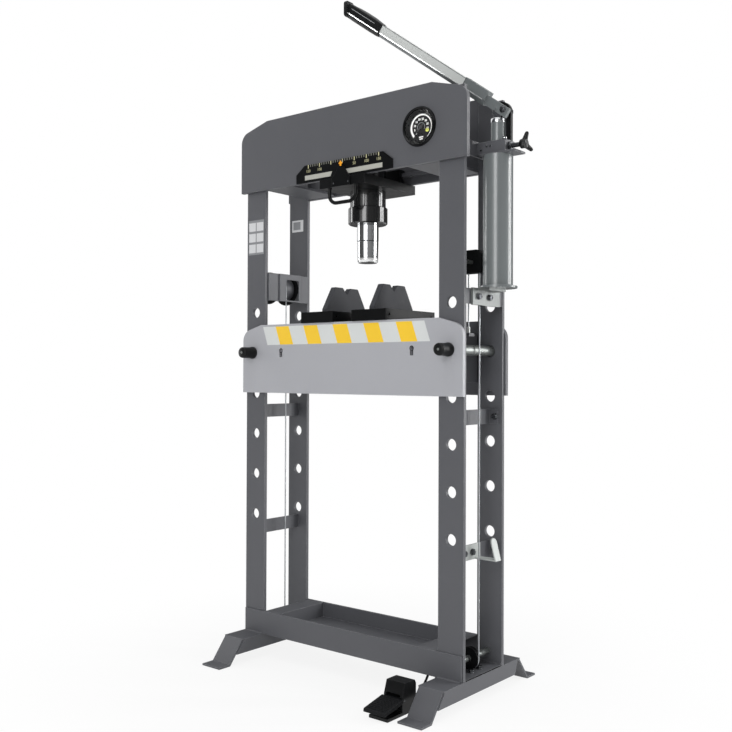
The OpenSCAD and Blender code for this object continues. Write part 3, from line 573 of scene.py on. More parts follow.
class PressColours(bpy.types.PropertyGroup):
    """Colours of the press's finishes."""

    frame_grey: bpy.props.FloatVectorProperty(
        name="Frame grey", description="Paint of the columns, beam, base and feet",
        subtype="COLOR", min=0.0, max=1.0, default=linear("595a5e"))
    bed_grey: bpy.props.FloatVectorProperty(
        name="Bed grey", description="Paint of the bed's front plate",
        subtype="COLOR", min=0.0, max=1.0, default=linear("a6a7ac"))
    stripe_yellow: bpy.props.FloatVectorProperty(
        name="Stripe yellow", description="Stripes of the band on the bed",
        subtype="COLOR", min=0.0, max=1.0, default=linear("f2c62e"))
    stripe_ground: bpy.props.FloatVectorProperty(
        name="Stripe ground", description="Pale ground between the stripes",
        subtype="COLOR", min=0.0, max=1.0, default=linear("d0d3d2"))
    tank_grey: bpy.props.FloatVectorProperty(
        name="Tank grey", description="Gloss paint of the pump's tank",
        subtype="COLOR", min=0.0, max=1.0, default=linear("6d7273"))
    machine_black: bpy.props.FloatVectorProperty(
        name="Machine black", description="Paint of the cylinder, pump arch, plates and sheaves",
        subtype="COLOR", min=0.0, max=1.0, default=linear("0f1011"))
    plastic_black: bpy.props.FloatVectorProperty(
        name="Plastic black", description="Moulded grips, knob and pedal",
        subtype="COLOR", min=0.0, max=1.0, default=linear("101112"))
    pointer_orange: bpy.props.FloatVectorProperty(
        name="Pointer orange", description="Arrow on the carriage's pointer",
        subtype="COLOR", min=0.0, max=1.0, default=linear("f0a018"))


class PressSizes(bpy.types.PropertyGroup):
    """Sizes of the small pieces that are made here."""

    weld_radius: bpy.props.FloatProperty(
        name="Weld radius", description="Radius of the weld beads",
        unit="LENGTH", precision=5, default=0.0032, min=0.001, max=0.006)
    sticker_thickness: bpy.props.FloatProperty(
        name="Sticker thickness", description="Thickness of printed films",
        unit="LENGTH", precision=5, default=0.0002, min=0.00005, max=0.0005)
    stripe_width: bpy.props.FloatProperty(
        name="Stripe width", description="Width of a yellow stripe",
        unit="LENGTH", precision=5, default=0.062, min=0.04, max=0.08)
    cable_pitch: bpy.props.FloatProperty(
        name="Strand pitch", description="Length of one turn of the cable's strands",
        unit="LENGTH", precision=5, default=0.03, min=0.015, max=0.06)


def colours():
    return bpy.context.scene.press_colours


def size(key):
    """One of the sizes above, in millimetres."""
    return getattr(bpy.context.scene.press_sizes, key) * 1000


# Finishes, each made once


def frame_paint():
    return painted("Frame grey paint", colours().frame_grey, gloss=0.38, uneven=0.08, radius=1.6,
                   rub="a8a9ad", rub_share=0.75, specular_ior_level=0.3)


def bed_paint():
    return painted("Bed grey paint", colours().bed_grey, gloss=0.42, uneven=0.05, radius=1.6,
                   rub="d6d7da", rub_share=0.6)


def black_paint():
    return painted("Machine black paint", colours().machine_black, gloss=0.30, uneven=0.15,
                   radius=1.0, peel=900.0, depth=0.008, rub="333437", rub_share=0.5,
                   specular_ior_level=0.14)


def gloss_black():
    return painted("Cylinder black", colours().machine_black, gloss=0.19, uneven=0.06,
                   radius=1.0, peel=500.0, depth=0.002, rub="2a2b2e", rub_share=0.4,
                   coat_weight=0.6)


def bezel_black():
    return painted("Bezel black", linear("0b0c0d"), gloss=0.14, uneven=0.1, radius=1.0,
                   peel=900.0, depth=0.001, rub="202124", rub_share=0.4, specular_ior_level=0.2)


def tank_paint():
    return painted("Tank grey gloss", colours().tank_grey, gloss=0.25, uneven=0.03, radius=1.4,
                   peel=500.0, depth=0.002, rub="b4b7b9", rub_share=0.5, coat_weight=0.3)


def aluminium():
    return painted("Drawn aluminium", linear("cdd0ce"), gloss=0.40, uneven=0.04, radius=0.6,
                   peel=900.0, depth=0.001, metallic=0.25)


def print_film(name, colour, gloss=0.4, mirror=0.4):
    return painted(name, colour, gloss, uneven=0.05, radius=0.4, peel=1500.0, depth=0.003,
                   specular_ior_level=mirror)


def flame_cut_black():
    return moulded("Flame-cut black", linear("0f1011"), gloss=0.34, pebble=300.0, depth=0.35,
                   radius=1.0, rub="2c2d30", specular_ior_level=0.15)


def cast_black():
    return moulded("Cast black", linear("37383c"), gloss=0.55, pebble=520.0, depth=0.12,
                   radius=2.0, rub="4a4b4f", specular_ior_level=0.2)


def plastic():
    return moulded("Black plastic", colours().plastic_black, gloss=0.36, pebble=1500.0,
                   depth=0.008, radius=1.2, rub="2a2b2d", specular_ior_level=0.22)


def rubber():
    return moulded("Pedal rubber", linear("111214"), gloss=0.5, pebble=900.0, depth=0.03,
                   radius=1.6, rub="232427", specular_ior_level=0.12)


def hose_black():
    return moulded("Hose black", linear("19191b"), gloss=0.36, pebble=2200.0, depth=0.015,
                   radius=0.4)


def hose_grey():
    return moulded("Sleeve grey", linear("9b9da0"), gloss=0.45, pebble=2200.0, depth=0.02,
                   radius=0.4)


def zinc():
    return metal("Zinc plate", "8d918f", dull=0.30, swing=0.3, stretch=(60.0, 60.0, 30.0),
                 depth=0.006, rub="d0d3d3", bare=0.75)


def pale_zinc():
    return metal("Pale zinc plate", "b3b7b5", dull=0.42, swing=0.4, stretch=(24.0, 24.0, 24.0),
                 depth=0.006, rub="dfe2e1", bare=0.12)


def dull_zinc():
    return metal("Dull zinc plate", "747776", dull=0.36, swing=0.3, stretch=(60.0, 60.0, 30.0),
                 depth=0.006, rub="c4c7c7", bare=0.5)


def chrome():
    return metal("Chromed steel", "dfe1e3", dull=0.11, swing=0.06, stretch=(40.0, 40.0, 900.0),
                 depth=0.002, radius=0.6)


def spring_steel():
    return metal("Spring steel", "8d9093", dull=0.3, swing=0.2)


def cable_steel():
    return metal("Cable strands", "b9bcbf", dull=0.32, swing=0.25, stretch=(200.0, 200.0, 200.0))


def bolt_black():
    return metal("Blackened bolt", "4b4d50", dull=0.26, swing=0.2, stretch=(80.0, 80.0, 80.0),
                 depth=0.004, rub="9fa2a4", bare=0.8)


# Near-white metal that paints a highlight on the bar's shoulder strips and on the ram nose's rim
def polished_edge():
    return metal("Polished edge", "f4f5f5", dull=0.20, swing=0.05, stretch=(14.0, 14.0, 14.0),
                 depth=0.001, radius=0.4, bare=0.6)


# Darker copy of the bar's metal, painted as the shade on its underside, top corners and the
# socket's lip
def bar_underside():
    return metal("Bar underside", "55585a", dull=0.34, swing=0.1, stretch=(14.0, 14.0, 14.0),
                 depth=0.001, radius=0.4, bare=0.3)


def lens_glass():
    """Clear glass that lets the lamps through to the dial."""
    name = "Gauge glass"
    if name in bpy.data.materials:
        return bpy.data.materials[name]
    material, tree, shader = new_material(name, base_color=WHITE, ior=1.25,
                                          transmission_weight=1.0)
    smear = noise(tree, surface_point(tree), 60.0, 2.0)
    tree.links.new(spread(tree, smear, 0.4, 0.7, 0.01, 0.05), shader.inputs["Roughness"])
    clear = put(tree, "ShaderNodeBsdfTransparent")
    shadow = put(tree, "ShaderNodeLightPath").outputs["Is Shadow Ray"]
    show(tree, mix_shaders(tree, shadow, shader.outputs[0], clear.outputs[0]))
    return material


# Operators, one for each piece or group of like pieces


class PRESS_OT_stage(bpy.types.Operator):
    """Camera, white floor and background, and soft lamps"""

    bl_idname = "press.stage"
    bl_label = "Stage"

    LENS = 46.32
    CAMERA_PLACE = (1.9238, -2.4147, 0.9827)
    YAW, PITCH, ROLL = math.radians(39.37), math.radians(0.51), math.radians(0.21)
    SOFT_LIGHT = 0.46
    FLOOR_HALF, FLOOR_Z = 40, -0.0005
    # Each lamp's name, place, aim, width, height and power
    LAMPS = (
        ("front_box", (1.3, -4.3, 2.2), (0.0, 0.0, 1.1), 1.7, 2.6, 74.0),
        ("right_strip", (3.2, 2.0, 1.9), (0.0, 0.0, 1.2), 0.42, 3.0, 60.0),
        ("rear_strip", (2.4, 2.6, 1.7), (0.3, 0.0, 1.2), 0.3, 2.6, 34.0),
        ("top_box", (0.3, -0.6, 4.6), (0.0, 0.0, 1.0), 3.0, 3.0, 42.0),
        ("left_strip", (-3.6, -1.2, 1.6), (0.0, 0.0, 1.1), 0.4, 2.6, 24.0),
    )
    # Each panel's name, first and last bearing in degrees, and brightness
    FLAGS = (
        ("camera_flag", -56.0, 20.0, 0.24),
        ("right_flag", 58.0, 150.0, 0.09),
        ("left_flag", -155.0, -100.0, 0.10),
    )
    FLAG_DISTANCE, FLAG_LOW, FLAG_HIGH = 5.2, -0.3, 4.4

    def execute(self, context):
        scene = context.scene
        scene.view_settings.view_transform = "Standard"
        self.camera(scene)
        self.background(scene)
        self.floor()
        for lamp in self.LAMPS:
            self.lamp(*lamp)
        for flag in self.FLAGS:
            self.flag(*flag)
        return {"FINISHED"}

    def camera(self, scene):
        data = bpy.data.cameras.new("photo_camera")
        data.lens = self.LENS
        data.sensor_width = 36.0
        data.clip_end = 200.0
        level = math.cos(self.PITCH)
        ahead = Vector((-math.sin(self.YAW) * level, math.cos(self.YAW) * level,
                        math.sin(self.PITCH)))
        right = Vector((math.cos(self.YAW), math.sin(self.YAW), 0.0))
        up = right.cross(ahead)
        tilted_right = right * math.cos(self.ROLL) + up * math.sin(self.ROLL)
        tilted_up = up * math.cos(self.ROLL) - right * math.sin(self.ROLL)
        turn = Matrix((tilted_right, tilted_up, -ahead)).transposed().to_4x4()
        camera = bpy.data.objects.new("photo_camera", data)
        camera.matrix_world = Matrix.Translation(self.CAMERA_PLACE) @ turn
        scene.camera = link(camera)

    def background(self, scene):
        world = scene.world or bpy.data.worlds.new("Studio")
        scene.world = world
        world.use_nodes = True
        tree = world.node_tree
        tree.nodes.clear()
        soft, white = (
            put(tree, "ShaderNodeBackground", {"Color": WHITE, "Strength": strength}).outputs[0]
            for strength in (self.SOFT_LIGHT, 1.0)
        )
        both = mix_shaders(tree, seen_rays(tree), soft, white)
        put(tree, "ShaderNodeOutputWorld", {"Surface": both})

    def stand(self, name, verts, faces, material):
        """Puts up a mesh that is no part of the press."""
        mesh = bpy.data.meshes.new(name)
        mesh.from_pydata(verts, [], faces)
        mesh.materials.append(material)
        item = link(bpy.data.objects.new(name, mesh))
        return item

    def floor(self):
        """Pale floor, shown white except for the shadow near the press."""
        material, tree, shader = new_material("Studio floor", roughness=0.7)
        spot = surface_point(tree)
        tint = put(tree, "ShaderNodeValToRGB", {0: noise(tree, spot, 40.0, 3.0)})
        for element, grey in zip(tint.color_ramp.elements, (0.86, 0.90)):
            element.color = (grey, grey, grey, 1)
        tree.links.new(tint.outputs[0], shader.inputs["Base Color"])
        far = vectors(tree, "LENGTH", {0: spot})["Value"]
        fade = spread(tree, far, 0.5, 1.5, 0.86, 1.0, "SMOOTHSTEP")
        share = maths(tree, "MULTIPLY", seen_rays(tree), fade)
        glow = put(tree, "ShaderNodeEmission", {"Color": WHITE, "Strength": 1.0})
        show(tree, mix_shaders(tree, share, shader.outputs[0], glow.outputs[0]))
        corners = [(x * self.FLOOR_HALF, y * self.FLOOR_HALF, self.FLOOR_Z)
                   for x, y in ((-1, -1), (1, -1), (1, 1), (-1, 1))]
        self.stand("studio_floor", corners, [(0, 1, 2, 3)], material)

    def flag(self, name, start, end, shade):
        """Curved dark panel round the press, which only reflections show."""
        low, high = self.FLAG_LOW, self.FLAG_HIGH
        steps = int((end - start) / 4)
        places = arc_points(0.0, 0.0, self.FLAG_DISTANCE, start, end, steps)
        verts = [(x, y, z) for x, y in places for z in (low, high)]
        faces = [(2 * k, 2 * k + 2, 2 * k + 3, 2 * k + 1) for k in range(steps)]
        material, tree, _ = new_material(name)
        height = put(tree, "ShaderNodeSeparateXYZ", {0: surface_point(tree)}).outputs[2]
        strength = spread(tree, height, low, high, shade * 0.7, shade * 1.3)
        show(tree, put(tree, "ShaderNodeEmission",
                       {"Color": WHITE, "Strength": strength}).outputs[0])
        panel = self.stand(name, verts, faces, material)
        for ray in ("camera", "diffuse", "transmission", "volume_scatter", "shadow"):
            setattr(panel, "visible_" + ray, False)

    def lamp(self, name, place, aim, width, height, power):
        data = bpy.data.lights.new(name, "AREA")
        data.shape = "RECTANGLE"
        data.size = width
        data.size_y = height
        data.energy = power
        lamp = link(bpy.data.objects.new(name, data))
        lamp.location = place
        lamp.rotation_mode = "QUATERNION"
        lamp.rotation_quaternion = (Vector(aim) - Vector(place)).to_track_quat("-Z", "Y")


class PRESS_OT_hoses(bpy.types.Operator):
    """Thin air hose and grey sleeve from the pedal to the glands under the tray"""

    bl_idname = "press.hoses"
    bl_label = "Hoses"

    AIR = [(300, -196, 44), (299, -180, 42), (294, -150, 22), (282, -110, 6), (266, -60, 5),
           (252, -10, 22), (244, 30, 60), (242, 44, 84), (242, 46, 97)]
    SIGNAL = [(326, -196, 34), (325, -180, 33), (320, -150, 20), (306, -110, 8), (292, -64, 8),
              (283, -26, 13), (278, 17, 31), (275, 37, 57), (274, 43, 74), (274, 44, 86),
              (274, 44, 91), (274, 44, 97)]

    def execute(self, context):
        self.hose("air_hose_tube", self.AIR, 8.0, hose_black(), "hose_black", "air_hose")
        self.hose("signal_sleeve", self.SIGNAL, 13.0, hose_grey(), "hose_grey", "signal_hose")
        return {"FINISHED"}

    def hose(self, name, route, diameter, material, slot, node):
        points = smoothed([mm(*p) for p in route], 4)
        curve = bpy.data.curves.new(name, "CURVE")
        curve.dimensions = "3D"
        curve.bevel_depth = diameter / 2000
        curve.bevel_resolution = 5
        curve.use_fill_caps = True
        spline = curve.splines.new("POLY")
        spline.points.add(len(points) - 1)
        for spot, p in zip(spline.points, points):
            spot.co = (p.x, p.y, p.z, 1.0)
        spline.use_smooth = True
        curve.materials.append(material)
        piece = new_object(name, curve, "frame", [node])


class PRESS_OT_frame_coat(bpy.types.Operator):
    """Grey paint on the frame's plates, weld beads in its corners and dark strips under its
    columns that paint the shadow of a gap
    """

    bl_idname = "press.frame_coat"
    bl_label = "Frame paint and welds"

    # Beads on both sides, front and back: X from and to, depth, Z from and to, share of the size
    WELDS = (
        (371.0, 457.0, 101.5, 84.5, 84.5, 1.0),
        (372.0, 452.0, 119.0, 80.5, 80.5, 1.0),
        (250.0, 364.0, 113.2, 1624.0, 1624.0, 0.9),
        (365.2, 365.2, 113.2, 962.0, 1108.0, 1.0),
        (300.0, 362.0, 113.2, 157.0, 157.0, 0.6),
    )

    def execute(self, context):
        dress(frame_paint(), "front_columns", "rear_columns", "beam_front_plate",
              "beam_rear_plate", "beam_ties", "beam_rails", "column_straps", "base_front_plate",
              "base_rear_plate", "base_tray", "base_end_plates", "feet", "bed_rear_plate",
              "bed_channels", "winch_cover")
        bm = bmesh.new()
        radius = size("weld_radius")
        for s in (-1, 1):
            for x0, x1, depth, z0, z1, share in self.WELDS:
                for y in (-depth, depth):
                    add_weld(bm, (s * x0, y, z0), (s * x1, y, z1), radius * share)
        make_piece("frame_welds", bm, frame_paint(), "frame_paint")
        # Dark strips on the feet's tops under the columns are painted shadow in the gap there
        bm = bmesh.new()
        for x0, x1 in ((-459.4, -458.9), (458.9, 459.4)):
            add_box(bm, x0, x1, -100.0, 100.0, 80.1, 83.6)
        make_piece("base_shadow_lines", bm, print_film("Seam dark", linear("0c0c0d"), 0.8, 0.02),
                   "frame_paint", sharp=20)
        return {"FINISHED"}


class PRESS_OT_bed(bpy.types.Operator):
    """Pale front plate with its striped band, press plates and cast V-blocks"""

    bl_idname = "press.bed"
    bl_label = "Bed"

    KEYHOLE_X = 278.0
    # Dark rim round each keyhole, painted as the shade at its edge
    KEYHOLE_RIM = [(5.9, 0.1), (8.0, 0.1), (8.0, -0.5), (7.6, -0.8), (5.9, -0.8)]
    # Dark sides of a keyhole's slot, painted as shade: X from and to, Z from and to
    SLOT_SIDES = ((-5.6, -3.4, -15.5, 0.0), (3.4, 5.6, -15.5, 0.0), (-3.4, 3.4, -15.5, -13.3))
    BAND_TOP, BAND_LOW, BAND_LEAN = 1146.0, 1083.0, 22.0
    STRIPE_START, STRIPE_STEP, STRIPES = -304.0, 130.0, 5
    BLOCK_X, BLOCK_HALF, BLOCK_LOW = 101.0, 11.0, 1189.0

    def execute(self, context):
        dress(bed_paint(), "bed_front_plate")
        dress(black_paint(), "press_plates")
        self.band()
        self.keyhole_rims()
        self.vee_blocks()
        return {"FINISHED"}

    # Dark rims and slot sides round the keyholes paint the shade at their edges
    def keyhole_rims(self):
        bm = bmesh.new()
        for x in (-self.KEYHOLE_X, self.KEYHOLE_X):
            add_turned(bm, self.KEYHOLE_RIM, (x, BED_FACE, PIN_Z + 6.0), "Y", 40, closed=True)
            for x0, x1, z0, z1 in self.SLOT_SIDES:
                add_box(bm, x + x0, x + x1, BED_FACE - 0.7, BED_FACE + SUNK,
                        PIN_Z + z0, PIN_Z + z1)
        make_piece("keyhole_rims", bm, plastic(), "black_plastic", sharp=30)

    def slanted(self, start, end, inset):
        """Outline on the bed's face between two places on the band's top edge."""
        top, low, lean = self.BAND_TOP - inset, self.BAND_LOW + inset, self.BAND_LEAN
        return [(start, top), (end, top), (end + lean, low), (start + lean, low)]

    def band(self):
        bm = bmesh.new()
        ground = self.slanted(-365.0, 325.0, 0.0)
        add_prism(bm, ground, "Y", *film_depths(BED_FACE, "ground"), 0)
        for k in range(self.STRIPES):
            start = self.STRIPE_START + self.STRIPE_STEP * k
            stripe = self.slanted(start, start + size("stripe_width"), 0.4)
            add_prism(bm, stripe, "Y", *film_depths(BED_FACE, "print"), 1)
        make_piece("bed_band", bm, [print_film("Band ground", colours().stripe_ground),
                                    print_film("Band yellow", colours().stripe_yellow)],
                   "bed_paint", sharp=20)

    def vee_blocks(self):
        bm = bmesh.new()
        half = [(103.5, 0.0), (103.5, 10.0), (58.5, 86.0), (19.5, 86.0)]
        left = [(-y, z) for y, z in half]
        outline = [left[0], *half, (0.0, 64.0), *reversed(left[1:])]
        outline = [(y, self.BLOCK_LOW + z) for y, z in outline]
        for x in (-self.BLOCK_X, self.BLOCK_X):
            add_prism(bm, outline, "X", x - self.BLOCK_HALF, x + self.BLOCK_HALF)
        make_piece("cast_vee_blocks", bm, cast_black(), "cast_black", replaces=["v_blocks"],
                   bevel=2.6, segments=3)


class PRESS_OT_scale(bpy.types.Operator):
    """Ticks, numerals and plain strips on the scale, and the arrow on the carriage's pointer"""

    bl_idname = "press.scale"
    bl_label = "Scale"

    TICK_TOP, NUMERAL_Z = 1680.0, 1659.0
    STRIP_LOW, STRIP_HIGH = 1630.0, 1645.5
    ARROW = [(-9.0, 1663.0), (-3.4, 1661.5), (-3.4, 1655.0), (3.4, 1655.0), (3.4, 1661.5),
             (9.0, 1663.0), (0.0, 1673.0)]

    def execute(self, context):
        dress(black_paint(), "scale_plate", "pointer_plate")
        depths = film_depths(SCALE_FACE)
        bm = bmesh.new()
        for k in range(-15, 16):
            tall, half, index = (12.0, 1.8, 0) if k % 5 == 0 else (7.5, 1.9, 1)
            x = k * 10.0
            add_box(bm, x - half, x + half, *depths, self.TICK_TOP - tall, self.TICK_TOP, index)
        for x in (-150, -100, 50, 100, 150):
            add_text(bm, str(abs(x)), 13.0,
                     lambda a, b, x=x: (x + a, depths[0], self.NUMERAL_Z + b))
        low, high = self.STRIP_LOW, self.STRIP_HIGH
        for strip in ([(-165.0, low), (-51.0, low), (-44.0, high), (-165.0, high)],
                      [(5.0, low), (165.0, low), (165.0, high), (5.0, high)]):
            add_prism(bm, strip, "Y", *depths, 2)
        make_piece("scale_marks", bm, [print_film("Mark cream", linear("c6c29a")),
                                       print_film("Mark grey", linear("6f6f67")),
                                       print_film("Strip silver", linear("adada5"), 0.3)],
                   "black_paint", sharp=20)
        bm = bmesh.new()
        add_prism(bm, self.ARROW, "Y", POINTER_FACE - 1.5, POINTER_FACE)
        make_piece("pointer_arrow", bm,
                   print_film("Pointer orange film", colours().pointer_orange), "black_paint",
                   "carriage", bevel=0.3)
        return {"FINISHED"}


class PRESS_OT_gauge(bpy.types.Operator):
    """Pressure gauge: black case, printed dial, needle and glass"""

    bl_idname = "press.gauge"
    bl_label = "Gauge"

    FILM = 0.15
    ZERO = 225
    TICKS, TICK_STEP, TICK_INNER, TICK_OUTER = 51, 5.1, 39.4, 41.4
    NUMERALS, NUMERAL_STEP, NUMERAL_RADIUS = 9, 30, 24.5
    RING_STEPS = 54
    DOT_X, DOT_Z, DOT_RADIUS, HUB_RADIUS = 23.0, -11.5, 6.4, 3.0
    # Two plain bars under the middle: place below it and half length
    BARS, BAR_HEIGHT = ((-32.0, 8.0), (-38.0, 6.0)), 3.6

    def execute(self, context):
        dress(bezel_black(), "gauge_case")
        dress(print_film("Dial black", linear("0b0c0d"), 0.5, 0.1), "gauge_dial")
        dress(print_film("Needle dark", linear("2b2a2b"), 0.35), "gauge_needle")
        dress(lens_glass(), "gauge_lens")
        x, z = GAUGE_X, GAUGE_Z
        bm = bmesh.new()
        self.ring(bm, self.ZERO, -55, (32.6, 38.2), (39.6, 39.6), 0)
        self.ring(bm, 210, -30, (13.0, 13.0), (14.2, 14.2), 1)
        for k in range(self.TICKS):
            self.tick(bm, self.ZERO - self.TICK_STEP * k, 0.45 if k % 5 == 0 else 0.25)
        for k in range(self.NUMERALS):
            spot = polar(x, z, self.NUMERAL_RADIUS, self.ZERO - self.NUMERAL_STEP * k)
            add_text(bm, str(k * 5), 8.6,
                     lambda p, q, s=spot: (s[0] + p, DIAL_FACE - self.FILM, s[1] + q), 0.35)
        dot = arc_points(x + self.DOT_X, z + self.DOT_Z, self.DOT_RADIUS, 0, 345, 23)
        self.film(bm, dot, 2)
        self.film(bm, arc_points(x, z, self.HUB_RADIUS, 0, 345, 23), 1)
        for below, half in self.BARS:
            left, right, low = x - half, x + half, z + below
            high = low + self.BAR_HEIGHT
            self.film(bm, [(left, low), (right, low), (right, high), (left, high)], 0)
        make_piece("dial_marks", bm, [print_film("Dial white", linear("f0f0ee")),
                                      print_film("Dial ring grey", linear("8f9294")),
                                      print_film("Dial yellow", linear("ccd060"))],
                   "dial_face", sharp=20)
        return {"FINISHED"}

    def film(self, bm, outline, index):
        add_prism(bm, outline, "Y", DIAL_FACE - self.FILM, DIAL_FACE + SUNK, index)

    def tick(self, bm, degrees, half):
        a = math.radians(degrees)
        c, s = math.cos(a), math.sin(a)
        corners = ((self.TICK_INNER, -half), (self.TICK_OUTER, -half), (self.TICK_OUTER, half),
                   (self.TICK_INNER, half))
        self.film(bm, [(GAUGE_X + c * r - s * w, GAUGE_Z + s * r + c * w) for r, w in corners], 0)

    def ring(self, bm, start, end, inner, outer, index):
        """Printed arc; inner and outer are its radii at the start and at the end."""
        def corner(i, radii):
            t = i / self.RING_STEPS
            r = radii[0] + (radii[1] - radii[0]) * t
            return polar(GAUGE_X, GAUGE_Z, r, start + (end - start) * t)

        for k in range(self.RING_STEPS):
            self.film(bm, [corner(k, outer), corner(k + 1, outer), corner(k + 1, inner),
                           corner(k, inner)], index)


class PRESS_OT_carriage(bpy.types.Operator):
    """Flame-cut carriage with its bail handle"""

    bl_idname = "press.carriage"
    bl_label = "Carriage"

    BAIL_X, BAIL_Y, BAIL_TOP = 56.0, -130.0, 1591.0

    def execute(self, context):
        dress(flame_cut_black(), "carriage_plate", "carriage_hangers")
        bm = bmesh.new()
        half, y, top = self.BAIL_X, self.BAIL_Y, self.BAIL_TOP
        path = [(-half, y, top), (-half, y, 1556), (-38, y, 1540), (38, y, 1540),
                (half, y, 1556), (half, y, top)]
        add_tube(bm, rounded_path(path, 12.0), 6.0, (0, 1, 0), 20)
        weld = [(0, 1586.5), (6.4, 1586.8), (7.4, 1588.6), (8.2, top), (0, top)]
        for x in (-half, half):
            add_turned(bm, weld, (x, y, 0), "Z", 24)
        make_piece("bail_bar", bm, black_paint(), "black_paint", "carriage", ["bail_handle"])
        bm = bmesh.new()
        screw = [(0, -1.8), (1.2, -1.8), (2.2, -1.4), (2.8, -0.6), (2.8, 0.2), (0, 0.2)]
        for x in (-31.0, 31.0):
            add_turned(bm, screw, (x, POINTER_FACE, 1602.0), "Y", 20)
        make_piece("pointer_screws", bm, bolt_black(), "zinc", "carriage")
        return {"FINISHED"}


class PRESS_OT_ram(bpy.types.Operator):
    """Black cylinder and collar, chromed ram, and its nose with dark seams and a rim painted pale
    as a highlight
    """

    bl_idname = "press.ram"
    bl_label = "Ram"

    # Height, thickness and radius of each seam
    SEAMS = ((1423.8, 3.0, 34.7), (1369.0, 1.2, 34.5))
    # Chamfered rim under the nose, a real shape coloured near-white as a painted highlight
    RIM = [(30.4, 1354.4), (31.3, 1354.2), (34.3, 1358.0), (34.7, 1368.4), (33.6, 1369.0),
           (33.2, 1359.0)]

    def execute(self, context):
        dress(gloss_black(), "cylinder_barrel", "gland_collar")
        dress(spring_steel(), "return_spring")
        dress(chrome(), "ram", "ram_nose")
        bm = bmesh.new()
        for z, thick, r in self.SEAMS:
            seam = [(r - 1.0, z), (r, z), (r, z + thick), (r - 1.0, z + thick)]
            add_turned(bm, seam, (0, 0, 0), "Z", 64, closed=True)
        make_piece("nose_seam", bm, bolt_black(), "chrome", "ram_body")
        turned_piece("nose_highlight_rim", self.RIM, (0, 0, 0), "Z", 72, polished_edge(), "chrome", True,
                     body="ram_body", sharp=60)
        return {"FINISHED"}


class PRESS_OT_pump(bpy.types.Operator):
    """Hand pump: tank, head block, barrel, plunger, arch and zinc brackets"""

    bl_idname = "press.pump"
    bl_label = "Pump"

    RING = [(21.8, 1738.0), (22.5, 1738.2), (22.7, 1739.0), (22.7, 1749.4), (22.3, 1750.1),
            (21.8, 1750.1)]
    PLUG = [(0, -1.2), (2.2, -1.2), (2.4, -0.4), (3.6, -0.6), (4.0, -0.2), (4.0, 0.4), (0, 0.4)]
    FITTING = [(0, 1681.8), (6.5, 1681.8), (6.5, 1690.0), (5.4, 1691.0), (0, 1691.0)]
    FITTING_RING = [(6.4, 1685.0), (7.2, 1685.4), (7.2, 1687.4), (6.4, 1687.8)]

    def execute(self, context):
        dress(tank_paint(), "pump_tank", "pump_barrel")
        dress(frame_paint(), "pump_head")
        dress(chrome(), "pump_piston")
        dress(black_paint(), "pump_arch")
        dress(pale_zinc(), "hook_bracket")
        dress(dull_zinc(), "pump_bracket")
        dress(bolt_black(), "hinge_pins")
        bead = arc_points(46.6, 1249.4, 1.6, 0, 324, 9)
        turned_piece("tank_weld", bead, (PUMP_X, 0, 0), "Z", 72, tank_paint(), "tank_paint", True)
        turned_piece("barrel_ring", self.RING, (PUMP_X, 0, 0), "Z", 64, chrome(), "chrome", True)
        self.ports()
        return {"FINISHED"}

    def ports(self):
        """Plugs in the head's front, and a fitting on its top beside the barrel."""
        bm = bmesh.new()
        for x, z in ((459.0, 1658.0), (479.0, 1668.0), (492.0, 1668.0)):
            add_turned(bm, self.PLUG, (x, HEAD_FACE, z), "Y", 24)
        make_piece("head_plugs", bm, bolt_black(), "zinc")
        place = (535.0, -14.0, 0)
        turned_piece("head_fitting", self.FITTING, place, "Z", 28, black_paint(), "black_paint")
        turned_piece("fitting_ring", self.FITTING_RING, place, "Z", 28, chrome(), "chrome", True)


